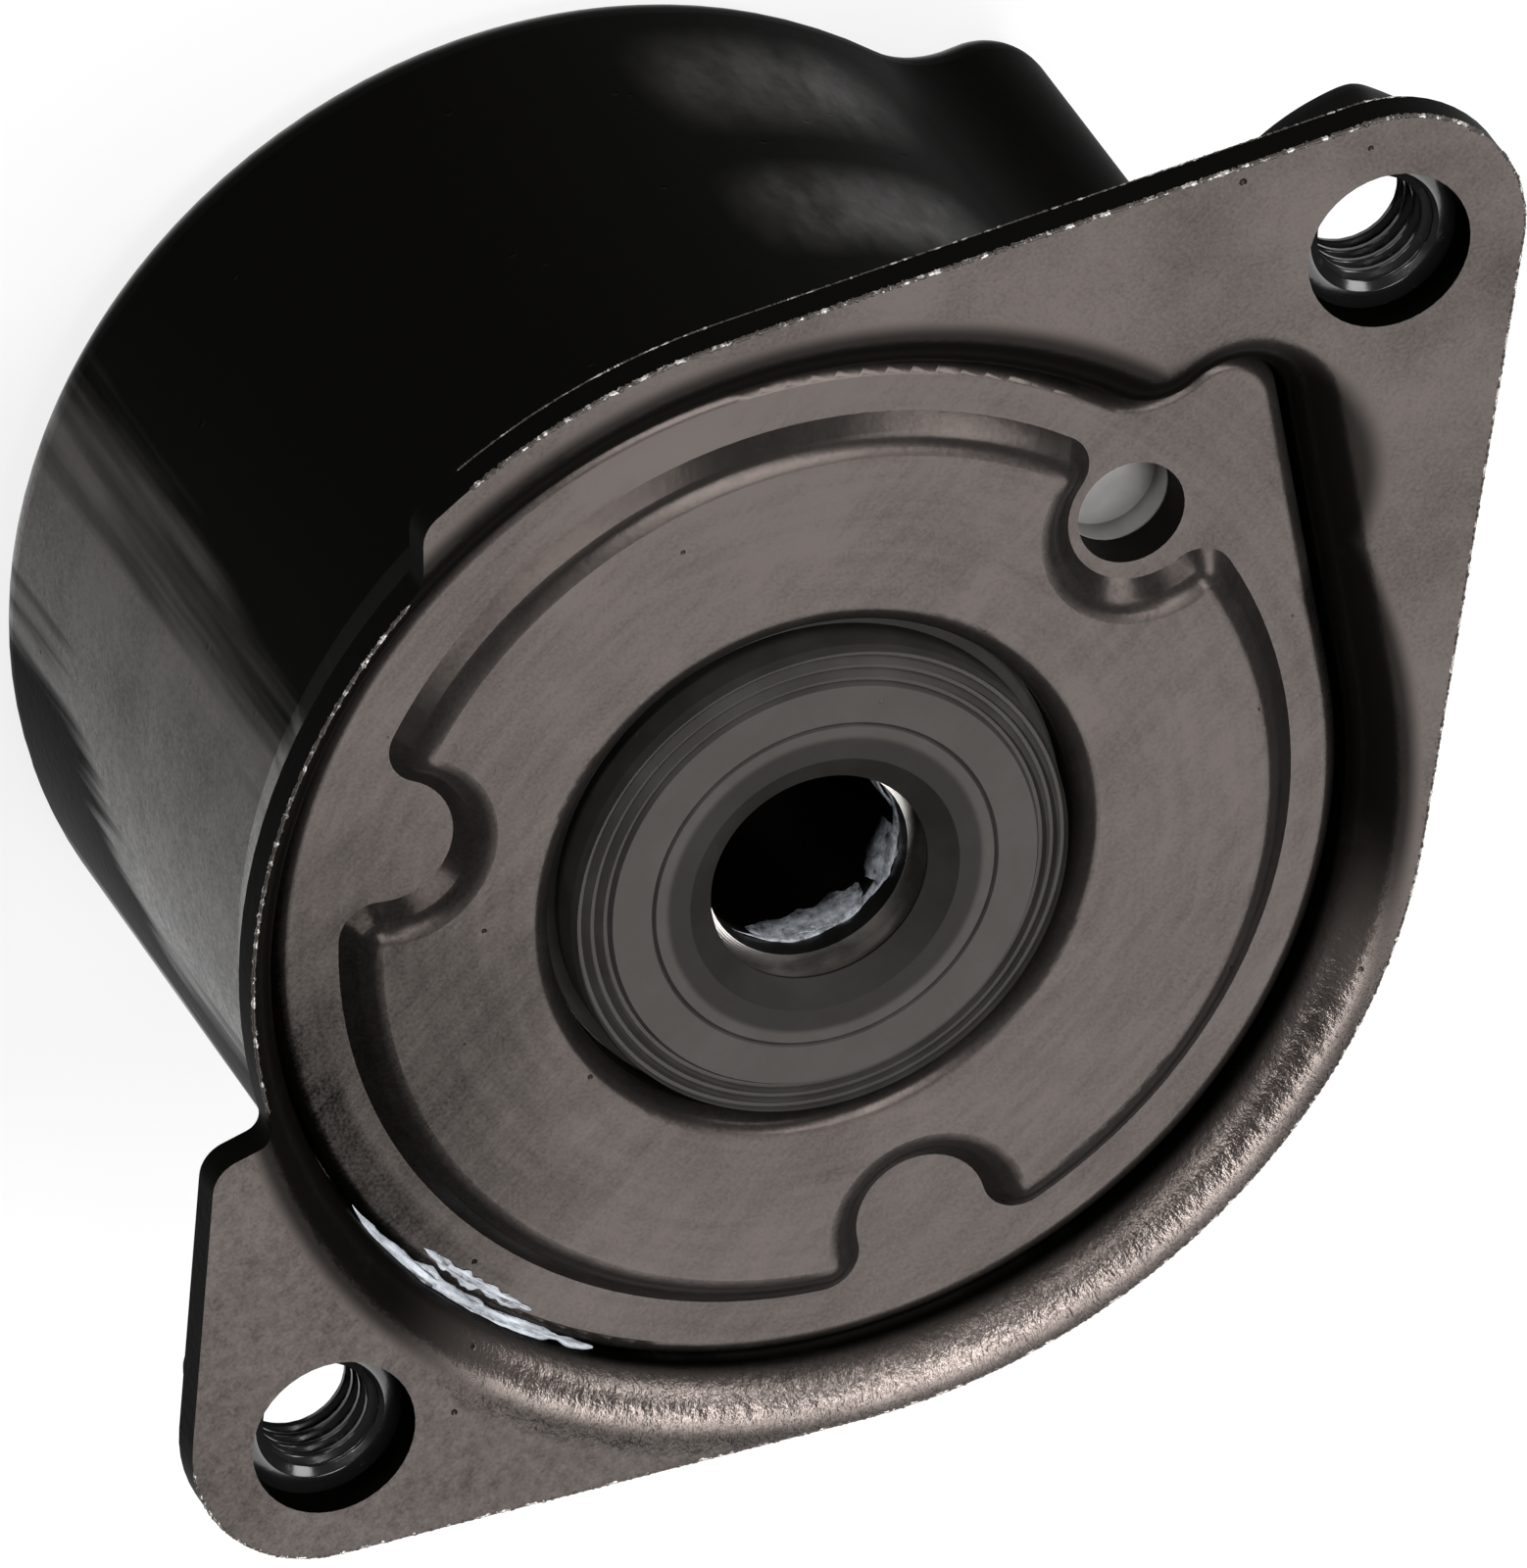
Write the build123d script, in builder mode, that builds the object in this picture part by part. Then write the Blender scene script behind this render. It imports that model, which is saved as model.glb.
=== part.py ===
"""Spring housing of a belt tensioner, in millimetres.

A lobed, deep-drawn steel drum with a two-eared flange stands on its closed end. A stamped plate
closes its mouth, keyed against turning by a teardrop tab in the drum's lobe. A turned hub with a bolt
bore runs in two plastic bushes, one in the plate's drawn collar and one in the drum floor's collar,
and a torsion spring turns it back to its free stop. +Z is the pivot axis, out of the open mouth, +X
points to the ear beside the lobe, and the origin is on the pivot axis in the plane of the closed end.
"""

from build123d import *

import math
import os

# The drum and its flange
DRUM_HEIGHT = 49.0        # closed end to the flange's mounting face
FLANGE_THICKNESS = 2.4
WALL = 1.9
FLOOR = 2.2
END_RADIUS = 4.2          # outer corner at the closed end
ROLL_RADIUS = 3.2         # from the mounting face down into the mouth
SEAT_WIDTH = 0.95         # ledge that the closing plate rests on
SHOULDER_FLARE = 0.8      # how far the drum widens under the flange
SHOULDER_HEIGHT = 3.4
BLEND_HEIGHT = 6.0        # over which the lobe turns into the mouth's shape

# The teardrop outline that plate, mouth and drum share; they are offsets of it
PLATE_RADIUS = 34.5
TAB_REACH = 3.0           # centre of the nose of plate and mouth, beyond the plate's circle
TAB_Y, TAB_RADIUS, TAB_HOLLOW = -0.9, 3.55, 4.8
LOBE_REACH = 1.5          # the same for the drum's nose, measured as if shrunk to the plate
LOBE_Y, LOBE_RADIUS, LOBE_HOLLOW = -3.1, 3.45, 7.4
MOUTH_GAP = 0.15

# The flange outline
LOWER_LAND = 1.65         # flat left outside the mouth's roll, on the side that isn't trimmed
LOWER_X, LOWER_Y = 0.5, 0.8
UPPER_LAND = 1.9
NARROW_LAND = 0.4         # sets the slope of the lower ear's upper side
UPPER_EAR_REACH = 13.95   # centre of the ear's round end, beyond the mouth's roll
UPPER_EAR_Y, UPPER_EAR_RADIUS = 0.3, 8.9
LOWER_EAR_REACH = 6.95
LOWER_EAR_Y, LOWER_EAR_RADIUS = 0.5, 9.0
TRIM_BITE = 1.05          # how far the trimmed side cuts into the mouth's roll
TRIM_START_ANGLE = 89.0
TRIM_STEP_X = 3.6         # how far along X the trimmed edge takes to reach the full outline
TRIM_END_ANGLE = 151.0
TRIM_FLANK_ANGLE = 154.0  # direction in which the trimmed edge runs out again
TRIM_FLANK_LENGTH = 15.0
TRIM_STEP_ROUND = 2.2     # where the step meets the full outline
TRIM_HOLLOW = 1.2
TRIM_ROUND = 2.2

# Ear holes and weld nuts
UPPER_HOLE_REACH, LOWER_HOLE_REACH = 13.75, 7.3
EAR_HOLE_RADIUS = 5.25
NUT_ACROSS_FLATS = 13.0
NUT_HEIGHT = 6.1
NUT_BORE_RADIUS = 3.4     # minor radius of an M8 thread
NUT_COUNTERSINK = 0.65
NUT_CORNER_ROUND = 0.4
NUT_CHAMFER_ANGLE = 60.0  # off the axis
UPPER_NUT_TURN, LOWER_NUT_TURN = 10.3, 22.0

# The closing plate
PLATE_RECESS = 3.0        # mounting face to the plate's rim
PLATE_THICKNESS = 2.8
PLATE_EDGE_RADIUS = 1.1
PLATEAU_X, PLATEAU_Y = 0.45, -0.35
RIM_WIDTH = 3.75          # from the plate's edge to the foot of its raised middle
PLATEAU_HEIGHT = 1.5
PLATEAU_FLANK = 45.0      # degrees off the axis
PLATEAU_SOFT_EDGE = 2.0
PLATEAU_CORNER = 2.4
HOLLOW_STEP = 1.2         # how far the hollow behind it stays inside its foot
TAB_BAY_INSET = 5.35      # from the plate's circle in to the bay at the tab
TAB_BAY_Y, TAB_BAY_RADIUS = -1.2, 4.55
SIDE_BAYS = ((6.55, 119.6, 4.2), (6.8, -119.9, 4.2))    # inset, angle and radius
TAB_HOLE_INSET = 5.6
TAB_HOLE_Y, TAB_HOLE_RADIUS = -0.8, 3.45
COLLAR_RADIUS = 16.9
COLLAR_WALL = 1.7
COLLAR_DEPTH = 10.0       # mounting face to the collar's lower end
COLLAR_ROLL = 1.5

# The hub
BOLT_BORE_RADIUS = 6.5
TUBE_RADIUS = 9.5
SHOULDER_RADIUS = 19.5
SHOULDER_THICKNESS = 2.9
JOURNAL_RADIUS = 14.5
JOURNAL_TOP = 4.5         # below the mounting face
SPIGOT_RADIUS = 13.2
SPIGOT_TOP = 2.0          # below the mounting face
BORE_MOUTH_RADIUS = 7.4
BORE_MOUTH_DEPTH = 1.0

# The seal
SEAL_HOLE_RADIUS = 7.0
SEAL_LIP_RADIUS = 8.7
SEAL_LIP_DEPTH = 1.3
SEAL_FLAT_RADIUS = 13.7
SEAL_GROOVE_RADIUS = 11.05
SEAL_GROOVE_WIDTH = 0.3
SEAL_GROOVE_DEPTH = 0.2
SEAL_RADIUS = 16.0
SEAL_RIDGES = 3
SEAL_RIDGE_HEIGHT = 0.35
SEAL_SKIRT = 4.4          # mounting face to the skirt's lower edge
SEAL_WIPER_RADIUS = 16.75
CARRIER_THICKNESS = 0.8

# Bushes and washers
RUNNING_GAP = 0.05
PRESS_GAP = 0.05
SLACK = 0.3
BUSH_FLANGE = 1.5
BUSH_FLANGE_REACH = 3.1
WASHER_THICKNESS = 1.0

# The drum floor
DISH_RADIUS = 17.0
DISH_DEPTH = 4.0
DISH_EDGE = 1.4
FLOOR_COLLAR_RADIUS = 11.0
FLOOR_COLLAR_WALL = 2.0
FLOOR_COLLAR_HEIGHT = 11.0
O_RING_THICKNESS = 1.3
O_RING_HEIGHT = 5.3
RING_THICKNESS = 1.1
RING_WIDTH = 3.0
RING_GAP_ANGLE = 50.0
RING_GROOVE_DEPTH = 0.6
RING_HEIGHT = 1.7

# Arbor, damping and travel stop
TRAVEL = 40.0             # degrees
ARBOR_WALL_GAP = 1.7      # room for the damping ring between arbor and drum
ARBOR_THICKNESS = 2.5
ARBOR_BOSS_RADIUS = 14.0
ARBOR_BOSS_HEIGHT = 9.0
DISC_SPRING_HEIGHT = 1.1
DISC_SPRING_THICKNESS = 0.6
DAMPING_WALL_GAP = 0.4
DAMPING_HEIGHT = 4.4
STOP_ANGLE = 60.0         # well away from the spring's lower leg
STOP_HALF_ANGLE = 6.0
STOP_INNER_RADIUS = 22.0
STOP_WALL_GAP = 2.7
BUFFER_ANGLE = 2.0
NOTCH_PLAY = 0.5

# The spring, its seat and liner
WIRE_RADIUS = 2.4
COIL_LINER_GAP = 1.0
COIL_CLEARANCE = 0.4      # least gap between two coils
LEG_TURN = 0.4            # part of a turn from the lower leg round to the upper one
LEG_BEND = 4.0            # bend radius of both legs
UPPER_LEG_REACH = 0.6     # how far the upper leg's end lies beyond the centre of the lobe's nose
LOWER_LEG_PLAY = 1.0
SEAT_INNER_RADIUS = 22.5
SEAT_THICKNESS = 3.6
SEAT_POCKET_DEPTH = 1.9
LINER_WALL = 2.2
LINER_WALL_GAP = 0.5
LINER_OPENING = 13.0      # half angle of the slot for the spring's leg

# Sizes and heights that follow
MOUTH_RIM_RADIUS = PLATE_RADIUS + MOUTH_GAP + ROLL_RADIUS
LOWER_RADIUS = MOUTH_RIM_RADIUS + LOWER_LAND
UPPER_RADIUS = MOUTH_RIM_RADIUS + UPPER_LAND
NARROW_RADIUS = MOUTH_RIM_RADIUS + NARROW_LAND
TRIM_RADIUS = MOUTH_RIM_RADIUS - TRIM_BITE
UPPER_EAR_X, UPPER_HOLE_X = MOUTH_RIM_RADIUS + UPPER_EAR_REACH, MOUTH_RIM_RADIUS + UPPER_HOLE_REACH
LOWER_EAR_X, LOWER_HOLE_X = -MOUTH_RIM_RADIUS - LOWER_EAR_REACH, -MOUTH_RIM_RADIUS - LOWER_HOLE_REACH
TAB = (PLATE_RADIUS + TAB_REACH, TAB_Y, TAB_RADIUS, TAB_HOLLOW)
LOBE = (PLATE_RADIUS + LOBE_REACH, LOBE_Y, LOBE_RADIUS, LOBE_HOLLOW)
PLATEAU_RADIUS = PLATE_RADIUS - RIM_WIDTH
TAB_HOLE_X = PLATE_RADIUS - TAB_HOLE_INSET
FACE = DRUM_HEIGHT
FLANGE_BACK = FACE - FLANGE_THICKNESS
PLATE_FRONT = FACE - PLATE_RECESS
PLATE_BACK = PLATE_FRONT - PLATE_THICKNESS
PLATEAU_FRONT = PLATE_FRONT + PLATEAU_HEIGHT
COLLAR_END = FACE - COLLAR_DEPTH
DRUM_GROWTH = MOUTH_GAP - SEAT_WIDTH + WALL       # drum outside, as an offset of the plate
CAVITY_GROWTH = MOUTH_GAP - SEAT_WIDTH            # drum inside
CAVITY_RADIUS = PLATE_RADIUS + CAVITY_GROWTH
ARBOR_RADIUS = CAVITY_RADIUS - ARBOR_WALL_GAP
STOP_OUTER_RADIUS = CAVITY_RADIUS - STOP_WALL_GAP
COIL_RADIUS = CAVITY_RADIUS - LINER_WALL_GAP - LINER_WALL - COIL_LINER_GAP - WIRE_RADIUS
UPPER_LEG_END = PLATE_RADIUS + LOBE_REACH + UPPER_LEG_REACH
DISH_FLOOR = DISH_DEPTH + FLOOR
BUSH_TOP = FLOOR_COLLAR_HEIGHT + BUSH_FLANGE
BLEND_TOP = FLANGE_BACK - SHOULDER_HEIGHT
BLEND_FOOT = BLEND_TOP - BLEND_HEIGHT
ARBOR_UNDER = BUSH_TOP + DISC_SPRING_HEIGHT
ARBOR_TOP = ARBOR_UNDER + ARBOR_THICKNESS
SEAT_TOP = PLATE_BACK - MOUTH_GAP
SEAT_UNDER = SEAT_TOP - SEAT_THICKNESS
COIL_BOTTOM = ARBOR_TOP + WIRE_RADIUS + SLACK
COIL_TOP = SEAT_UNDER - WIRE_RADIUS - SLACK
COIL_ROOM = (COIL_TOP - COIL_BOTTOM) / (2 * WIRE_RADIUS + COIL_CLEARANCE)
COIL_TURNS = LEG_TURN + math.floor(COIL_ROOM - LEG_TURN)
THRUST_TOP = COLLAR_END - MOUTH_GAP - BUSH_FLANGE
SHOULDER_TOP = THRUST_TOP - WASHER_THICKNESS - 2 * RUNNING_GAP


def polar(radius, angle):
    """Point at that radius and angle in degrees."""
    return (radius * math.cos(math.radians(angle)), radius * math.sin(math.radians(angle)))


def about(x, y, length, angle):
    """Point at that distance and angle from x, y."""
    dx, dy = polar(length, angle)
    return (x + dx, y + dy)


def teardrop(growth, nose):
    """Outline grown by that much: the plate's circle, a straight lower flank, a round nose and a hollow
    above it. The nose is given as x, y, radius and the hollow's radius."""
    nose_x, nose_y = nose[:2]
    radius, tip, hollow = PLATE_RADIUS + growth, nose[2] + growth, nose[3] - growth
    reach, heading = math.hypot(nose_x, nose_y), math.degrees(math.atan2(nose_y, nose_x))
    low = heading - math.degrees(math.acos((radius - tip) / reach))
    far, near = radius + hollow, tip + hollow
    high = heading + math.degrees(
        math.acos((far * far + reach * reach - near * near) / (2 * far * reach))
    )
    hollow_x, hollow_y = polar(far, high)
    into = math.degrees(math.atan2(hollow_y - nose_y, hollow_x - nose_x))
    with BuildSketch() as outline:
        with BuildLine():
            ThreePointArc(
                polar(radius, high), about(hollow_x, hollow_y, hollow, (high + into) / 2 + 180),
                about(nose_x, nose_y, tip, into),
            )
            ThreePointArc(
                about(nose_x, nose_y, tip, into), about(nose_x, nose_y, tip, (into + low) / 2),
                about(nose_x, nose_y, tip, low),
            )
            Line(about(nose_x, nose_y, tip, low), polar(radius, low))
            ThreePointArc(
                polar(radius, low), polar(radius, (low + high) / 2 + 180), polar(radius, high)
            )
        make_face()
    return outline.sketch


def capsule(a, b):
    """Two circles, each given as x, y, radius, with the straight flanks that touch both."""
    (ax, ay, ar), (bx, by, br) = a, b
    heading = math.degrees(math.atan2(by - ay, bx - ax))
    swing = math.degrees(math.acos((ar - br) / math.hypot(bx - ax, by - ay)))
    (lx, ly), (rx, ry) = polar(1, heading + swing), polar(1, heading - swing)
    with BuildSketch() as face:
        with Locations((ax, ay)):
            Circle(ar)
        with Locations((bx, by)):
            Circle(br)
        with BuildLine():
            Polyline(
                (ax + ar * lx, ay + ar * ly), (bx + br * lx, by + br * ly),
                (bx + br * rx, by + br * ry), (ax + ar * rx, ay + ar * ry), close=True,
            )
        make_face()
    return face.sketch


def ring_sector(inner, outer, start, end):
    """Flat sector of a ring between two angles in degrees."""
    middle = (start + end) / 2
    with BuildSketch() as face:
        with BuildLine():
            ThreePointArc(polar(outer, start), polar(outer, middle), polar(outer, end))
            Line(polar(outer, end), polar(inner, end))
            ThreePointArc(polar(inner, end), polar(inner, middle), polar(inner, start))
            Line(polar(inner, start), polar(outer, start))
        make_face()
    return face.sketch


def profile(*points):
    """Flat face with those corners, each a radius and a height, to be turned about the pivot axis."""
    with BuildSketch() as face:
        with BuildLine():
            Polyline(*points, close=True)
        make_face()
    return face.sketch


def flange_outline():
    """Flange before it is trimmed: two ears blended into arcs that differ on each side."""
    upper_ear = (UPPER_EAR_X, UPPER_EAR_Y, UPPER_EAR_RADIUS)
    lower_ear = (LOWER_EAR_X, LOWER_EAR_Y, LOWER_EAR_RADIUS)
    span = 4 * UPPER_RADIUS
    with BuildSketch() as below:
        for ear in (upper_ear, lower_ear):
            add(capsule((LOWER_X, LOWER_Y, LOWER_RADIUS), ear))
        with Locations((0, span / 2)):
            Rectangle(span, span, mode=Mode.SUBTRACT)
    with BuildSketch() as above:
        add(capsule((0, 0, UPPER_RADIUS), upper_ear))
        add(capsule((0, 0, NARROW_RADIUS), lower_ear))
        with Locations((0, -span / 2)):
            Rectangle(span, span, mode=Mode.SUBTRACT)
    with BuildSketch() as outline:
        add(below.sketch)
        add(above.sketch)
    return outline.sketch


def plateau_outline(shrink):
    """Raised middle of the plate shrunk by that much: a circle with three round bays."""
    bays = [(*polar(PLATE_RADIUS - inset, angle), radius) for inset, angle, radius in SIDE_BAYS]
    bays.append((PLATE_RADIUS - TAB_BAY_INSET, TAB_BAY_Y, TAB_BAY_RADIUS))
    with BuildSketch() as outline:
        with Locations((PLATEAU_X, PLATEAU_Y)):
            Circle(PLATEAU_RADIUS - shrink)
        for x, y, radius in bays:
            with Locations((x, y)):
                Circle(radius + shrink, mode=Mode.SUBTRACT)
        fillet(outline.vertices(), PLATEAU_CORNER - shrink)
    return outline.sketch


def trim_outline():
    """What is cut off the flange on the side that is trimmed close to the drum."""
    start = polar(TRIM_RADIUS, TRIM_START_ANGLE)
    end = polar(TRIM_RADIUS, TRIM_END_ANGLE)
    run_out = about(*end, TRIM_FLANK_LENGTH, TRIM_FLANK_ANGLE)
    far = UPPER_RADIUS + TRIM_FLANK_LENGTH
    with BuildSketch() as outline:
        with BuildLine():
            ThreePointArc(start, polar(TRIM_RADIUS, (TRIM_START_ANGLE + TRIM_END_ANGLE) / 2), end)
            Polyline(
                end, run_out, (run_out[0], far), (start[0] + TRIM_STEP_X + far - UPPER_RADIUS, far),
                (start[0] + TRIM_STEP_X, UPPER_RADIUS + start[0]), start,
            )
        make_face()
        fillet(outline.vertices().sort_by_distance(Vector(*start, 0))[0], TRIM_HOLLOW)
        fillet(outline.vertices().sort_by_distance(Vector(*end, 0))[0], TRIM_HOLLOW)
    return outline.sketch


os.makedirs("parts", exist_ok=True)

# Drum: outer form, mouth and cavity first, then the roll, and the trim last so the roll runs into it
with BuildPart() as drum_housing:
    with BuildSketch():
        add(teardrop(DRUM_GROWTH, LOBE))
    extrude(amount=FLANGE_BACK)
    fillet(drum_housing.faces().sort_by(Axis.Z)[0].edges(), END_RADIUS)
    with BuildSketch():
        Circle(DISH_RADIUS)
    extrude(amount=DISH_DEPTH, mode=Mode.SUBTRACT)
    fillet(drum_housing.faces().sort_by(Axis.Z)[0].inner_wires()[0].edges(), DISH_EDGE)
    for low, low_outline, high, high_outline in (
        (BLEND_FOOT, teardrop(DRUM_GROWTH, LOBE), BLEND_TOP, teardrop(DRUM_GROWTH, TAB)),
        (BLEND_TOP, teardrop(DRUM_GROWTH, TAB), FLANGE_BACK, teardrop(DRUM_GROWTH + SHOULDER_FLARE, TAB)),
    ):
        with BuildSketch(Plane.XY.offset(low)):
            add(low_outline)
        with BuildSketch(Plane.XY.offset(high)):
            add(high_outline)
        loft(ruled=True)
    with BuildSketch(Plane.XY.offset(FLANGE_BACK)):
        add(flange_outline())
    extrude(amount=FLANGE_THICKNESS)
    with BuildSketch(Plane.XY.offset(PLATE_BACK)):
        add(teardrop(MOUTH_GAP, TAB))
    extrude(amount=FACE - PLATE_BACK, mode=Mode.SUBTRACT)
    mouth_edges = drum_housing.faces().filter_by(Plane.XY).sort_by(Axis.Z)[-1].inner_wires()[0].edges()
    fillet(mouth_edges, ROLL_RADIUS)
    with BuildSketch(Plane.XY.offset(FLOOR)):
        add(teardrop(CAVITY_GROWTH, LOBE))
    extrude(amount=PLATE_BACK - FLOOR, mode=Mode.SUBTRACT)
    with BuildSketch(Plane.XY.offset(FLOOR)):
        Circle(DISH_RADIUS + FLOOR)
    extrude(amount=DISH_DEPTH)
    with BuildSketch(Plane.XY.offset(DISH_FLOOR)):
        Circle(FLOOR_COLLAR_RADIUS + FLOOR_COLLAR_WALL)
    extrude(amount=FLOOR_COLLAR_HEIGHT - DISH_FLOOR)
    with BuildSketch():
        Circle(DISH_RADIUS)
    extrude(amount=DISH_DEPTH, mode=Mode.SUBTRACT)
    with BuildSketch():
        Circle(FLOOR_COLLAR_RADIUS)
    extrude(amount=FLOOR_COLLAR_HEIGHT, mode=Mode.SUBTRACT)
    with BuildSketch(Plane.XY.offset(FLANGE_BACK)):
        add(trim_outline())
    extrude(amount=FLANGE_THICKNESS, mode=Mode.SUBTRACT)
    trim_end = polar(TRIM_RADIUS, TRIM_END_ANGLE)
    run_out = Vector(*about(*trim_end, TRIM_FLANK_LENGTH, TRIM_FLANK_ANGLE), FLANGE_BACK)
    fillet(drum_housing.edges().filter_by(Axis.Z).sort_by_distance(run_out)[0], TRIM_ROUND)
    step = polar(TRIM_RADIUS, TRIM_START_ANGLE)[0] + TRIM_STEP_X
    step_top = Vector(step, UPPER_RADIUS, FLANGE_BACK)
    fillet(drum_housing.edges().filter_by(Axis.Z).sort_by_distance(step_top)[0], TRIM_STEP_ROUND)
    with BuildSketch(Plane.XY.offset(FLANGE_BACK)):
        with Locations((UPPER_HOLE_X, 0), (LOWER_HOLE_X, 0)):
            Circle(EAR_HOLE_RADIUS)
    extrude(amount=FLANGE_THICKNESS, mode=Mode.SUBTRACT)
drum_housing.part.label = "drum_housing"
export_step(drum_housing.part, "parts/drum_housing.step")

# Weld nuts: hexagons with their far corners turned off, bored for the thread
for name, x, turn in (
    ("weld_nut_upper", UPPER_HOLE_X, UPPER_NUT_TURN),
    ("weld_nut_lower", LOWER_HOLE_X, LOWER_NUT_TURN),
):
    nut_plane = Plane((x, 0, FLANGE_BACK - NUT_HEIGHT))
    with BuildPart() as weld_nut:
        with BuildSketch(nut_plane) as hexagon:
            RegularPolygon(NUT_ACROSS_FLATS / 2, 6, major_radius=False, rotation=turn)
            fillet(hexagon.vertices(), NUT_CORNER_ROUND)
        extrude(amount=NUT_HEIGHT)
        with BuildSketch(nut_plane):
            Circle(NUT_ACROSS_FLATS / 2)
        extrude(amount=NUT_HEIGHT, taper=-NUT_CHAMFER_ANGLE, mode=Mode.INTERSECT)
        with BuildSketch(nut_plane):
            Circle(NUT_BORE_RADIUS)
        extrude(amount=NUT_HEIGHT, mode=Mode.SUBTRACT)
        bore_rims = weld_nut.edges().filter_by(GeomType.CIRCLE).filter_by(
            lambda edge: abs(edge.radius - NUT_BORE_RADIUS) < 0.01
        )
        chamfer(bore_rims, NUT_COUNTERSINK)
    weld_nut.part.label = name
    export_step(weld_nut.part, f"parts/{name}.step")

# Closing plate: teardrop blank, raised middle with three bays, collar drawn down round the hub
with BuildPart() as closing_plate:
    with BuildSketch(Plane.XY.offset(PLATE_BACK)):
        add(teardrop(0, TAB))
    extrude(amount=PLATE_THICKNESS)
    fillet(closing_plate.faces().sort_by(Axis.Z)[-1].edges(), PLATE_EDGE_RADIUS)
    with BuildSketch(Plane.XY.offset(PLATE_FRONT)):
        add(plateau_outline(0))
    extrude(amount=PLATEAU_HEIGHT, taper=PLATEAU_FLANK)
    fillet(closing_plate.faces().sort_by(Axis.Z)[-1].edges(), PLATEAU_SOFT_EDGE)
    with BuildSketch(Plane.XY.offset(PLATE_BACK)):
        add(plateau_outline(HOLLOW_STEP))
    extrude(amount=PLATEAU_HEIGHT, mode=Mode.SUBTRACT)
    with BuildSketch(Plane.XY.offset(COLLAR_END)):
        Circle(COLLAR_RADIUS + COLLAR_WALL)
    extrude(amount=PLATEAU_FRONT - COLLAR_END)
    with BuildSketch(Plane.XY.offset(COLLAR_END)):
        Circle(COLLAR_RADIUS)
    extrude(amount=PLATEAU_FRONT - COLLAR_END, mode=Mode.SUBTRACT)
    collar_mouth = closing_plate.edges().filter_by(GeomType.CIRCLE).filter_by(
        lambda edge: abs(edge.radius - COLLAR_RADIUS) < 0.01
    ).sort_by(Axis.Z)[-1]
    fillet(collar_mouth, COLLAR_ROLL)
    with BuildSketch(Plane.XY.offset(PLATE_BACK)):
        with Locations((TAB_HOLE_X, TAB_HOLE_Y)):
            Circle(TAB_HOLE_RADIUS)
    extrude(amount=PLATE_THICKNESS, mode=Mode.SUBTRACT)
closing_plate.part.label = "closing_plate"
export_step(closing_plate.part, "parts/closing_plate.step")

# Hub: tube, thrust shoulder, front journal and spigot, with the bolt bore right through
with BuildPart() as pivot_hub:
    with BuildSketch(Plane.XZ):
        add(profile(
            (BOLT_BORE_RADIUS, 0), (TUBE_RADIUS, 0), (TUBE_RADIUS, SHOULDER_TOP - SHOULDER_THICKNESS),
            (SHOULDER_RADIUS, SHOULDER_TOP - SHOULDER_THICKNESS), (SHOULDER_RADIUS, SHOULDER_TOP),
            (JOURNAL_RADIUS, SHOULDER_TOP), (JOURNAL_RADIUS, FACE - JOURNAL_TOP),
            (SPIGOT_RADIUS, FACE - JOURNAL_TOP), (SPIGOT_RADIUS, FACE - SPIGOT_TOP),
            (BORE_MOUTH_RADIUS, FACE - SPIGOT_TOP), (BORE_MOUTH_RADIUS, FACE - SPIGOT_TOP - BORE_MOUTH_DEPTH),
            (BOLT_BORE_RADIUS, FACE - SPIGOT_TOP - BORE_MOUTH_DEPTH),
        ))
    revolve(axis=Axis.Z)
    with BuildSketch(Plane.XZ):
        add(profile(
            (TUBE_RADIUS - RING_GROOVE_DEPTH, RING_HEIGHT - PRESS_GAP),
            (TUBE_RADIUS + 1, RING_HEIGHT - PRESS_GAP),
            (TUBE_RADIUS + 1, RING_HEIGHT + RING_THICKNESS + PRESS_GAP),
            (TUBE_RADIUS - RING_GROOVE_DEPTH, RING_HEIGHT + RING_THICKNESS + PRESS_GAP),
        ))
    revolve(axis=Axis.Z, mode=Mode.SUBTRACT)
pivot_hub.part.label = "pivot_hub"
export_step(pivot_hub.part, "parts/pivot_hub.step")

# Seal: a steel cup pressed on the spigot, and the rubber moulded on it
carrier_top = FACE - SPIGOT_TOP + CARRIER_THICKNESS
with BuildPart() as seal_carrier:
    with BuildSketch(Plane.XZ):
        add(profile(
            (BORE_MOUTH_RADIUS, FACE - SPIGOT_TOP), (SPIGOT_RADIUS, FACE - SPIGOT_TOP),
            (SPIGOT_RADIUS, FACE - JOURNAL_TOP), (SPIGOT_RADIUS + CARRIER_THICKNESS, FACE - JOURNAL_TOP),
            (SPIGOT_RADIUS + CARRIER_THICKNESS, carrier_top), (BORE_MOUTH_RADIUS, carrier_top),
        ))
    revolve(axis=Axis.Z)
seal_carrier.part.label = "seal_carrier"
export_step(seal_carrier.part, "parts/seal_carrier.step")

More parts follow.
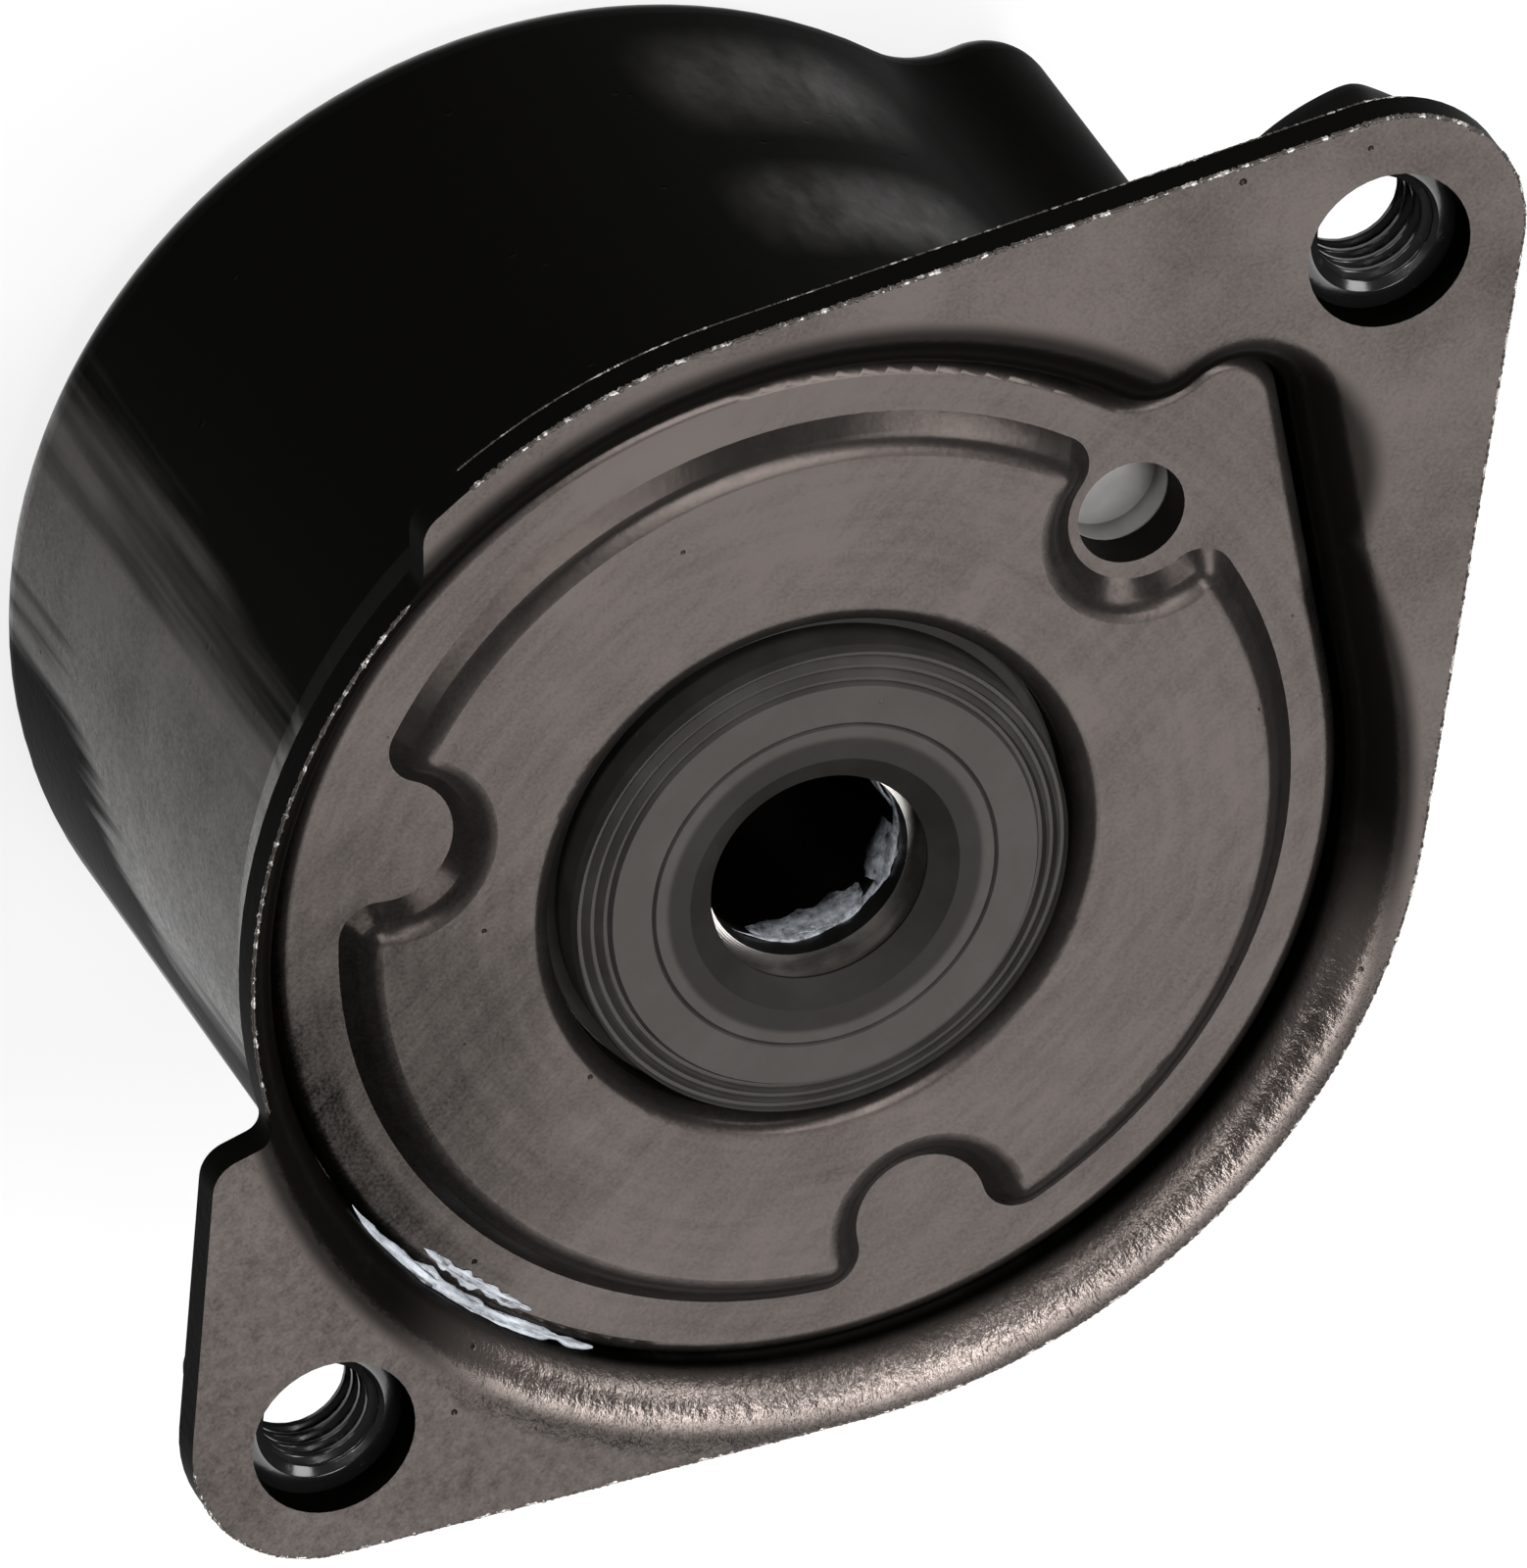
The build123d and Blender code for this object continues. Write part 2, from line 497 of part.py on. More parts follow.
ridge_pitch = (SEAL_RADIUS - SEAL_FLAT_RADIUS) / SEAL_RIDGES
ridge_profile = []
for ridge in range(SEAL_RIDGES):
    inner_edge = SEAL_FLAT_RADIUS + ridge * ridge_pitch
    fall = ridge * SEAL_RIDGE_HEIGHT / 2
    ridge_profile += [
        (inner_edge + 0.3 * ridge_pitch, FACE - fall - SEAL_RIDGE_HEIGHT),
        (inner_edge + 0.6 * ridge_pitch, FACE - fall - SEAL_RIDGE_HEIGHT),
        (inner_edge + 0.8 * ridge_pitch, FACE - fall),
    ]
with BuildPart() as seal_ring:
    with BuildSketch(Plane.XZ):
        add(profile(
            (SEAL_HOLE_RADIUS, carrier_top), (SEAL_HOLE_RADIUS, FACE - SEAL_LIP_DEPTH + SLACK),
            (SEAL_LIP_RADIUS, FACE),
            (SEAL_GROOVE_RADIUS - SEAL_GROOVE_WIDTH / 2, FACE),
            (SEAL_GROOVE_RADIUS, FACE - SEAL_GROOVE_DEPTH),
            (SEAL_GROOVE_RADIUS + SEAL_GROOVE_WIDTH / 2, FACE),
            (SEAL_FLAT_RADIUS, FACE), *ridge_profile,
            (SEAL_RADIUS, FACE - SEAL_RIDGES * SEAL_RIDGE_HEIGHT),
            (SEAL_RADIUS, FACE - SEAL_SKIRT + 2 * SEAL_RIDGE_HEIGHT),
            (SEAL_WIPER_RADIUS, FACE - SEAL_SKIRT + SLACK), (SEAL_WIPER_RADIUS, FACE - SEAL_SKIRT),
            (SPIGOT_RADIUS + CARRIER_THICKNESS, FACE - SEAL_SKIRT),
            (SPIGOT_RADIUS + CARRIER_THICKNESS, carrier_top),
        ))
    revolve(axis=Axis.Z)
seal_ring.part.label = "seal_ring"
export_step(seal_ring.part, "parts/seal_ring.step")

# Front bush in the plate's collar, and the thrust washer under it
with BuildPart() as front_pivot_bush:
    bush_inner, bush_outer = JOURNAL_RADIUS + RUNNING_GAP, COLLAR_RADIUS - PRESS_GAP
    with BuildSketch(Plane.XZ):
        add(profile(
            (bush_inner, THRUST_TOP), (bush_outer + BUSH_FLANGE_REACH, THRUST_TOP),
            (bush_outer + BUSH_FLANGE_REACH, THRUST_TOP + BUSH_FLANGE),
            (bush_outer, THRUST_TOP + BUSH_FLANGE),
            (bush_outer, FACE - SEAL_SKIRT - SLACK), (bush_inner, FACE - SEAL_SKIRT - SLACK),
        ))
    revolve(axis=Axis.Z)
front_pivot_bush.part.label = "front_pivot_bush"
export_step(front_pivot_bush.part, "parts/front_pivot_bush.step")

with BuildPart() as front_thrust_washer:
    with BuildSketch(Plane.XY.offset(SHOULDER_TOP + RUNNING_GAP)):
        Circle(SHOULDER_RADIUS)
        Circle(JOURNAL_RADIUS + RUNNING_GAP, mode=Mode.SUBTRACT)
    extrude(amount=WASHER_THICKNESS)
front_thrust_washer.part.label = "front_thrust_washer"
export_step(front_thrust_washer.part, "parts/front_thrust_washer.step")

# Rear bush in the floor's collar, and the rubber ring below it
with BuildPart() as rear_pivot_bush:
    bush_inner, bush_outer = TUBE_RADIUS + RUNNING_GAP, FLOOR_COLLAR_RADIUS - PRESS_GAP
    with BuildSketch(Plane.XZ):
        add(profile(
            (bush_inner, O_RING_HEIGHT + O_RING_THICKNESS / 2 + SLACK),
            (bush_outer, O_RING_HEIGHT + O_RING_THICKNESS / 2 + SLACK),
            (bush_outer, FLOOR_COLLAR_HEIGHT), (bush_outer + BUSH_FLANGE_REACH, FLOOR_COLLAR_HEIGHT),
            (bush_outer + BUSH_FLANGE_REACH, BUSH_TOP), (bush_inner, BUSH_TOP),
        ))
    revolve(axis=Axis.Z)
rear_pivot_bush.part.label = "rear_pivot_bush"
export_step(rear_pivot_bush.part, "parts/rear_pivot_bush.step")

with BuildPart() as rear_o_ring:
    with BuildSketch(Plane.XZ):
        with Locations(((TUBE_RADIUS + FLOOR_COLLAR_RADIUS) / 2, O_RING_HEIGHT)):
            Circle(O_RING_THICKNESS / 2)
    revolve(axis=Axis.Z)
rear_o_ring.part.label = "rear_o_ring"
export_step(rear_o_ring.part, "parts/rear_o_ring.step")

# Rear washer and snap ring in the dish
with BuildPart() as rear_thrust_washer:
    with BuildSketch(Plane.XY.offset(DISH_DEPTH - WASHER_THICKNESS - RUNNING_GAP)):
        Circle(DISH_RADIUS - BUSH_FLANGE)
        Circle(TUBE_RADIUS + SLACK, mode=Mode.SUBTRACT)
    extrude(amount=WASHER_THICKNESS)
rear_thrust_washer.part.label = "rear_thrust_washer"
export_step(rear_thrust_washer.part, "parts/rear_thrust_washer.step")

with BuildPart() as retaining_ring:
    ring_inner = TUBE_RADIUS - RING_GROOVE_DEPTH + PRESS_GAP
    with BuildSketch(Plane.XY.offset(RING_HEIGHT)):
        add(ring_sector(ring_inner, ring_inner + RING_WIDTH, RING_GAP_ANGLE / 2, 360 - RING_GAP_ANGLE / 2))
        for side in (1, -1):
            with Locations(polar(ring_inner + RING_WIDTH, side * RING_GAP_ANGLE / 2)):
                Circle(RING_WIDTH / 2)
            with Locations(polar(ring_inner + RING_WIDTH, side * RING_GAP_ANGLE / 2)):
                Circle(RING_WIDTH / 4, mode=Mode.SUBTRACT)
    extrude(amount=RING_THICKNESS)
retaining_ring.part.label = "retaining_ring"
export_step(retaining_ring.part, "parts/retaining_ring.step")

# Arbor: disc and boss on the tube, a hole for the spring's lower leg and a notch for the stop
notch_start = STOP_ANGLE - STOP_HALF_ANGLE - BUFFER_ANGLE - NOTCH_PLAY
notch_end = STOP_ANGLE + STOP_HALF_ANGLE + BUFFER_ANGLE + NOTCH_PLAY + TRAVEL
coil_end = math.degrees(math.asin((LOBE[1] - LEG_BEND) / (COIL_RADIUS + LEG_BEND)))
coil_start = coil_end - 360 * COIL_TURNS
start_x, start_y = polar(COIL_RADIUS, coil_start)
back_x, back_y = polar(1, coil_start - 90)
with BuildPart() as spring_arbor:
    with BuildSketch(Plane.XY.offset(ARBOR_UNDER)):
        Circle(ARBOR_RADIUS)
        add(
            ring_sector(STOP_INNER_RADIUS - SLACK, ARBOR_RADIUS + WALL, notch_start, notch_end),
            mode=Mode.SUBTRACT,
        )
        with Locations((start_x + LEG_BEND * back_x, start_y + LEG_BEND * back_y)):
            Circle(WIRE_RADIUS + LOWER_LEG_PLAY, mode=Mode.SUBTRACT)
    extrude(amount=ARBOR_THICKNESS)
    with BuildSketch(Plane.XY.offset(ARBOR_UNDER)):
        Circle(ARBOR_BOSS_RADIUS)
    extrude(amount=ARBOR_BOSS_HEIGHT)
    with BuildSketch(Plane.XY.offset(ARBOR_UNDER)):
        Circle(TUBE_RADIUS)
    extrude(amount=ARBOR_BOSS_HEIGHT, mode=Mode.SUBTRACT)
spring_arbor.part.label = "spring_arbor"
export_step(spring_arbor.part, "parts/spring_arbor.step")

damping_under = ARBOR_TOP + SLACK - DAMPING_HEIGHT
with BuildPart() as damping_ring:
    with BuildSketch(Plane.XY.offset(damping_under)):
        add(ring_sector(ARBOR_RADIUS, CAVITY_RADIUS - DAMPING_WALL_GAP, notch_end, notch_start + 360))
    extrude(amount=DAMPING_HEIGHT)
damping_ring.part.label = "damping_ring"
export_step(damping_ring.part, "parts/damping_ring.step")

with BuildPart() as preload_washer:
    outer = TUBE_RADIUS + 2 * BUSH_FLANGE_REACH - BUSH_FLANGE
    with BuildSketch(Plane.XZ):
        add(profile(
            (TUBE_RADIUS + SLACK, ARBOR_UNDER - DISC_SPRING_THICKNESS), (outer, BUSH_TOP),
            (outer, BUSH_TOP + DISC_SPRING_THICKNESS), (TUBE_RADIUS + SLACK, ARBOR_UNDER),
        ))
    revolve(axis=Axis.Z)
preload_washer.part.label = "preload_washer"
export_step(preload_washer.part, "parts/preload_washer.step")

# Travel stop on the floor, with a rubber buffer on each side
with BuildPart() as travel_stop:
    with BuildSketch(Plane.XY.offset(FLOOR)):
        add(ring_sector(
            STOP_INNER_RADIUS, STOP_OUTER_RADIUS, STOP_ANGLE - STOP_HALF_ANGLE, STOP_ANGLE + STOP_HALF_ANGLE
        ))
    extrude(amount=ARBOR_TOP - FLOOR)
travel_stop.part.label = "travel_stop"
export_step(travel_stop.part, "parts/travel_stop.step")

for name, side in (("free_stop_buffer", -1), ("full_stop_buffer", 1)):
    near = STOP_ANGLE + side * STOP_HALF_ANGLE
    with BuildPart() as stop_buffer:
        with BuildSketch(Plane.XY.offset(ARBOR_UNDER)):
            add(ring_sector(
                STOP_INNER_RADIUS + 1, STOP_OUTER_RADIUS - 1, *sorted((near, near + side * BUFFER_ANGLE))
            ))
        extrude(amount=ARBOR_THICKNESS)
    stop_buffer.part.label = name
    export_step(stop_buffer.part, f"parts/{name}.step")

# Torsion spring: coils, the upper leg bent out into the lobe, the lower one down into the arbor
coil_height = COIL_TOP - COIL_BOTTOM
coil = Helix(coil_height / COIL_TURNS, coil_height, COIL_RADIUS, center=(0, 0, COIL_BOTTOM))
top, bottom = coil @ 1, coil @ 0
along, back = coil % 1, -(coil % 0)
upper_plane = Plane(top, x_dir=along, z_dir=along.cross(Vector(top.X, top.Y, 0)))
lower_plane = Plane(bottom, x_dir=back, z_dir=back.cross(Vector(0, 0, -1)))
upper_leg_length = UPPER_LEG_END - (COIL_RADIUS + LEG_BEND) * math.cos(math.radians(coil_end))
with BuildPart() as torsion_spring:
    with BuildSketch(Plane(bottom, z_dir=-back)):
        Circle(WIRE_RADIUS)
    sweep(path=coil, is_frenet=True)
    for plane, turn, length in (
        (upper_plane, 90 + coil_end, upper_leg_length),
        (lower_plane, 90, COIL_BOTTOM - LEG_BEND - ARBOR_UNDER - SLACK),
    ):
        middle, bend_end = polar(LEG_BEND, turn / 2 - 90), polar(LEG_BEND, turn - 90)
        with BuildLine(plane) as leg:
            ThreePointArc((0, 0), (middle[0], middle[1] + LEG_BEND), (bend_end[0], bend_end[1] + LEG_BEND))
            PolarLine((bend_end[0], bend_end[1] + LEG_BEND), length, turn)
        with BuildSketch(Plane(plane.origin, z_dir=plane.x_dir)):
            Circle(WIRE_RADIUS)
        sweep()
wound_spring = torsion_spring.part.rotate(Axis.Z, coil_start)
wound_spring.label = "torsion_spring"
export_step(wound_spring, "parts/torsion_spring.step")

# Spring seat under the plate, with the pocket that shows through the tab hole
with BuildPart() as front_spring_seat:
    with BuildSketch(Plane.XY.offset(SEAT_UNDER)):
        Circle(CAVITY_RADIUS - DAMPING_WALL_GAP)
        Circle(SEAT_INNER_RADIUS, mode=Mode.SUBTRACT)
    extrude(amount=SEAT_THICKNESS)
    with BuildSketch(Plane.XY.offset(SEAT_TOP - SEAT_POCKET_DEPTH)):
        with Locations((TAB_HOLE_X, TAB_HOLE_Y)):
            Circle(TAB_HOLE_RADIUS)
    extrude(amount=SEAT_POCKET_DEPTH, mode=Mode.SUBTRACT)
front_spring_seat.part.label = "front_spring_seat"
export_step(front_spring_seat.part, "parts/front_spring_seat.step")

# Liner between coils and drum, open at the lobe for the spring's leg
liner_under = damping_under + DAMPING_HEIGHT + SLACK
with BuildPart() as spring_liner:
    liner_outer = CAVITY_RADIUS - LINER_WALL_GAP
    with BuildSketch(Plane.XY.offset(liner_under)):
        add(ring_sector(liner_outer - LINER_WALL, liner_outer, LINER_OPENING, 360 - LINER_OPENING))
    extrude(amount=SEAT_UNDER - SLACK - liner_under)
spring_liner.part.label = "spring_liner"
export_step(spring_liner.part, "parts/spring_liner.step")
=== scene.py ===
"""Belt tensioner spring housing: the looks of the packed model.

The formulas below work in millimetres, in the frame of the CAD model, whose
origin is on the pivot axis in the plane of the drum's closed end. Meshes get
metres.
"""

import math

import bpy
import numpy as np
from bpy.props import FloatProperty, FloatVectorProperty, PointerProperty
from mathutils import Matrix, Vector


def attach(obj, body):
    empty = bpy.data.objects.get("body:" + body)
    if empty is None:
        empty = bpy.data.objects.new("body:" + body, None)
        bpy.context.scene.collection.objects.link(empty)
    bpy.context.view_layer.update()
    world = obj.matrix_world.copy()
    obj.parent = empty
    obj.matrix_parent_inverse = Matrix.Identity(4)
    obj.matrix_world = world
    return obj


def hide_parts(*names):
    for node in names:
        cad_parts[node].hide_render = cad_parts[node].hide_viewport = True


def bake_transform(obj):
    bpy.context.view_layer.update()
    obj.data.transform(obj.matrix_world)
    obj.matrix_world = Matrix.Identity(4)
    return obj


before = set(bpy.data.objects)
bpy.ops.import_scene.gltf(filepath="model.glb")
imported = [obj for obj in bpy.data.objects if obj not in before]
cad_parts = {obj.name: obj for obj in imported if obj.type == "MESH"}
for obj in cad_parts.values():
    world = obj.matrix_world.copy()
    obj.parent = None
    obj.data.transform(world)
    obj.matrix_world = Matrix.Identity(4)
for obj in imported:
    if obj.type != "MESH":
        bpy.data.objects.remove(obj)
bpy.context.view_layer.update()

bl_info = {
    "name": "Belt tensioner spring housing",
    "version": (1, 0, 0),
    "blender": (4, 5, 0),
    "location": "View3D > Sidebar > Spring housing",
    "description": "Dresses the packed model of a tensioner's spring housing",
    "category": "Object",
}

MM = 0.001
FACE = 49.0                     # height of the mounting face
TURN = 2.0 * math.pi
ARC_PER_DEGREE = 0.6            # round the drum's wall
NUT_PLACES = (                  # node, axis, and turn of a flat in degrees
    ("weld_nut_upper", (51.6, 0.0), 10.3),
    ("weld_nut_lower", (-45.15, 0.0), 22.0),
)
TAB_PLACE = (33.0, -3.0)        # where the plate's tab leaves its round rim

# Outlines of the flange, as circles x, y, radius with a belt round them
UPPER_EAR = (51.8, 0.3, 8.9)
LOWER_EAR = (-44.8, 0.5, 9.0)
UPPER_OUTLINE = ((0.0, 0.0, 39.75), UPPER_EAR)
LOWER_OUTLINE = ((0.5, 0.8, 39.5), UPPER_EAR, LOWER_EAR)
TRIM_OUTLINE = ((0.0, 0.0, 36.8),)

FLOOR_RADIUS = 4000.0
FLOOR_RIM = 500.0               # how high the floor's rim rises
SENSOR = 36.0
CAMERA_RIGHT = (0.656, -0.664, 0.358)
CAMERA_BACK = (0.154, 0.583, 0.799)    # the way from the part to the camera
AIM_SHIFT = (-3.72 * MM, 6.08 * MM)    # along the camera's right and up, in metres


# Shader maths


class Value:
    """A node's output. Python's operators on it add Math nodes."""

    def __init__(self, finish, socket):
        self.finish = finish
        self.socket = socket

    def _math(self, operation, *values):
        return self.finish.node(
            "ShaderNodeMath", {"operation": operation}, dict(enumerate(values))
        )

    def __add__(self, other):
        return self._math("ADD", self, other)

    __radd__ = __add__

    def __sub__(self, other):
        return self._math("SUBTRACT", self, other)

    def __rsub__(self, other):
        return self._math("SUBTRACT", other, self)

    def __mul__(self, other):
        return self._math("MULTIPLY", self, other)

    __rmul__ = __mul__

    def __abs__(self):
        return self._math("ABSOLUTE", self)

    def least(self, other):
        return self._math("MINIMUM", self, other)

    def most(self, other):
        return self._math("MAXIMUM", self, other)

    def sine(self):
        return self._math("SINE", self)

    def root(self):
        return self._math("SQRT", self)

    def angle(self, other):
        """The angle of the point (other, self), in radians."""
        return self._math("ARCTAN2", self, other)

    def rise(self, low, high):
        """0 below low and 1 above high, smooth between; low > high turns it round."""
        return self.finish.node(
            "ShaderNodeMapRange",
            {"interpolation_type": "SMOOTHSTEP"},
            {"Value": self, "From Min": low, "From Max": high},
        )

    def band(self, low, high, soft):
        """1 between low and high, with soft edges of the given width."""
        return self.rise(low - soft, low + soft) * self.rise(high + soft, high - soft)


class Finish:
    """One material. Its patterns read Object coordinates in millimetres."""

    def __init__(self, name):
        self.material = bpy.data.materials.new(name)
        self.material.use_nodes = True
        self.tree = self.material.node_tree
        self.tree.nodes.clear()
        place = self.node("ShaderNodeTexCoord", output="Object")
        self.place = self.node(
            "ShaderNodeVectorMath", {"operation": "SCALE"}, {0: place, "Scale": 1000.0}
        )
        parts = self.node("ShaderNodeSeparateXYZ", values={0: self.place})
        outputs = parts.socket.node.outputs
        self.x, self.y, self.z = (Value(self, outputs[i]) for i in range(3))

    def node(self, kind, settings=None, values=None, output=0):
        """Adds a node: settings first, then its sockets' values or links."""
        node = self.tree.nodes.new(kind)
        for key, value in (settings or {}).items():
            setattr(node, key, value)
        for key, value in (values or {}).items():
            socket = node.inputs[key]
            if isinstance(value, Value):
                self.tree.links.new(value.socket, socket)
            else:
                socket.default_value = value
        return Value(self, node.outputs[output]) if node.outputs else None

    def radius(self, x=0.0, y=0.0):
        """Distance from the line through (x, y) along Z, in millimetres."""
        across, along = self.x - x, self.y - y
        return (across * across + along * along).root()

    def turned(self):
        """Angle round the pivot axis, in degrees."""
        return self.y.angle(self.x) * (180.0 / math.pi)

    def stretched(self, across, along, height):
        """The place with each axis scaled, for patterns longer one way."""
        return self.node(
            "ShaderNodeVectorMath",
            {"operation": "MULTIPLY"},
            {0: self.place, 1: (across, along, height)},
        )

    def bent(self, along, across, height):
        """The place rolled out round the pivot axis: arc length, radius, height."""
        parts = {
            0: self.turned() * (along * ARC_PER_DEGREE),
            1: self.radius() * across,
            2: self.z * height,
        }
        return self.node("ShaderNodeCombineXYZ", values=parts)

    def noise(self, scale, detail=2.0, roughness=0.5, place=None):
        """Noise of about 1 / scale millimetres, from 0 to 1 round 0.5."""
        return self.node(
            "ShaderNodeTexNoise",
            values={
                "Vector": place or self.place,
                "Scale": scale,
                "Detail": detail,
                "Roughness": roughness,
            },
        )

    def cells(self, scale):
        """Distance to the nearest of scattered points, in cells."""
        values = {"Vector": self.place, "Scale": scale}
        return self.node("ShaderNodeTexVoronoi", values=values, output="Distance")

    def light_path(self, ray):
        """1 for the named kind of ray, else 0."""
        return self.node("ShaderNodeLightPath", output=ray)

    def facing(self):
        """The surface normal's three parts, before any bump."""
        normal = self.node("ShaderNodeNewGeometry", output="Normal")
        parts = self.node("ShaderNodeSeparateXYZ", values={0: normal})
        return tuple(Value(self, parts.socket.node.outputs[i]) for i in range(3))

    def blend(self, factor, first, second):
        """Colour that goes from first to second as factor goes from 0 to 1."""
        first, second = (
            c if isinstance(c, Value) else (*c, 1.0)[:4] for c in (first, second)
        )
        return self.node(
            "ShaderNodeMix",
            {"data_type": "RGBA"},
            {0: factor, 6: first, 7: second},
            2,
        )

    def bump(self, height):
        """Normal of a relief whose height is in millimetres."""
        return self.node("ShaderNodeBump", values={"Height": height, "Distance": MM})

    def surface(self, painted_shade_and_dull=None, **sockets):
        """Ends the material in a Principled shader; _ in a name is a space.

        Where painted_shade_and_dull goes to 1, the shader gives way to a black that hardly shines. The
        materials use it for painted shade, and also where the coat is duller at random.
        """
        values = {}
        for key, value in sockets.items():
            name = key.replace("_", " ").title().replace("Ior", "IOR")
            if isinstance(value, (tuple, list)) and len(value) == 3:
                value = (*value, 1.0)
            values[name] = value
        shader = self.node("ShaderNodeBsdfPrincipled", values=values)
        if painted_shade_and_dull is not None:
            black = {
                "Base Color": (0.0008, 0.0007, 0.0005, 1.0),
                "Roughness": 0.4,
                "Specular IOR Level": 0.005,
                "Normal": values["Normal"],
            }
            flat = self.node("ShaderNodeBsdfPrincipled", values=black)
            shader = self.node("ShaderNodeMixShader", values={0: painted_shade_and_dull, 1: shader, 2: flat})
        self.node("ShaderNodeOutputMaterial", values={"Surface": shader})
        return self.material


def dress(material, *nodes):
    """Gives CAD nodes a material."""
    for name in nodes:
        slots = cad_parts[name].data.materials
        slots.clear()
        slots.append(material)


def phosphated(name):
    """Dark grey phosphated steel, blotchy and faintly pitted."""
    f = Finish(name)
    stain = f.noise(0.4, 4.0, 0.65)
    return f.surface(
        base_color=f.blend(stain.rise(0.35, 0.7), (0.085, 0.082, 0.08), (0.15, 0.145, 0.14)),
        metallic=0.8,
        roughness=0.42 + stain * 0.16,
        normal=f.bump(f.noise(2.4, 3.0) * 0.012),
    )


# Meshes from numpy grids


def grid_mesh(name, points, closed_u, closed_v, poles=(False, False)):
    """Mesh of a grid of points[u, v] in millimetres.

    A closed direction joins its last line to its first. A pole closes the
    first or last line of u with a fan on that line's mean point.
    """
    rows, columns = points.shape[:2]
    across = np.arange(rows if closed_u else rows - 1)
    along = np.arange(columns if closed_v else columns - 1)
    u, v = np.meshgrid(across, along, indexing="ij")
    u2, v2 = (u + 1) % rows, (v + 1) % columns
    quads = np.stack(
        [u * columns + v, u2 * columns + v, u2 * columns + v2, u * columns + v2], -1
    ).reshape(-1, 4)
    vertices = points.reshape(-1, 3) * MM
    fans = []
    for end, wanted in zip((0, rows - 1), poles):
        if wanted:
            ring = end * columns + np.arange(columns)
            centre = np.full(columns, len(vertices))
            vertices = np.vstack([vertices, vertices[ring].mean(0)])
            pair = (ring, np.roll(ring, -1)) if end == 0 else (np.roll(ring, -1), ring)
            fans.append(np.stack([centre, *pair], -1))
    mesh = bpy.data.meshes.new(name)
    faces = quads.tolist() + [f for fan in fans for f in fan.tolist()]
    mesh.from_pydata(vertices.tolist(), [], faces)
    mesh.polygons.foreach_set("use_smooth", np.ones(len(faces), bool))
    mesh.update()
    return mesh


def add_piece(name, mesh, material, body, slot, *replaced):
    """Puts a finished mesh in the scene, riding on a body of the frame if one is given."""
    piece = bpy.data.objects.new(name, mesh)
    bpy.context.scene.collection.objects.link(piece)
    mesh.materials.append(material)
    if body:
        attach(piece, body)
    if replaced:
        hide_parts(*replaced)
    return piece


def ripple(angle, seed):
    """Smooth closed unevenness of about -1 to 1.

    It is a sum of five sines with the odd orders from 3 to 11 and seeded phases,
    each weaker than the one before.
    """
    phases = np.random.default_rng(seed).uniform(0, TURN, 5)
    waves = (
        np.sin((3 + 2 * i) * angle + phase) / (1 + 0.35 * i)
        for i, phase in enumerate(phases)
    )
    return sum(waves) / 2.2


def nut_points(centre, turn, size):
    """Threaded hexagon nut as one closed grid, round the axis by along the skin.

    The bore's radius is that of the thread: with d the distance along Z from
    the middle of the crest, folded at half a pitch and moved by a pitch for
    each turn, it is the minor radius where d is under an eighth of the pitch,
    the major radius where d is over four tenths, and straight between. Both
    ends are countersunk by a cone. Outside, the radius is the hexagon's
    apothem over the cosine of the angle from its flat, softly held under the
    corner radius, and the faces fall by a 30 degree cone outside the chamfer.
    The grid's columns run backwards, so that its faces point outward.
    """
    angle = np.linspace(0, TURN, 180, endpoint=False)[:, None]
    low, high = size.low, size.low + size.height
    minor, major = size.minor, size.major
    countersink = major + 0.15
    apothem = size.across_flats / 2

    z = np.linspace(low, high, 120)[None, :]
    phase = (z / size.pitch - angle / TURN) % 1.0
    d = np.abs(phase - 0.5) * size.pitch
    thread = minor + (major - minor) * np.clip((d / size.pitch - 0.125) / 0.28, 0, 1)
    end = np.minimum(z - low, high - z)
    bore = np.maximum(thread, countersink - end * 1.1)
    bore_z = z + 0 * angle

    from_flat = (angle - math.radians(turn) + math.pi / 6) % (math.pi / 3) - math.pi / 6
    flat = apothem / np.cos(from_flat)
    corner = apothem * 1.115
    hexagon = (flat**-60.0 + corner**-60.0) ** (-1 / 60.0)
    chamfer = apothem - 0.25

    reach = np.array([0.0, 0.45, 0.9, 0.97, 1.0])[None, :]
    face = countersink * (1 - reach) + hexagon * reach
    drop = np.maximum(face - chamfer, 0) * math.tan(math.radians(30)) + 0.12 * (reach > 0.99)
    side_z = np.linspace(0, 1, 7)[None, 1:-1]
    top = high - drop[:, -1:]
    bottom = low + drop[:, -1:]
    side = (top * (1 - side_z) + bottom * side_z, hexagon * 1.003 + 0 * side_z)

    radius = np.hstack([bore, face, side[1], face[:, ::-1]])[:, ::-1]
    height = np.hstack([bore_z, high - drop, side[0], low + drop[:, ::-1]])[:, ::-1]
    return np.stack(
        [
            centre[0] + radius * np.cos(angle),
            centre[1] + radius * np.sin(angle),
            height,
        ],
        -1,
    )


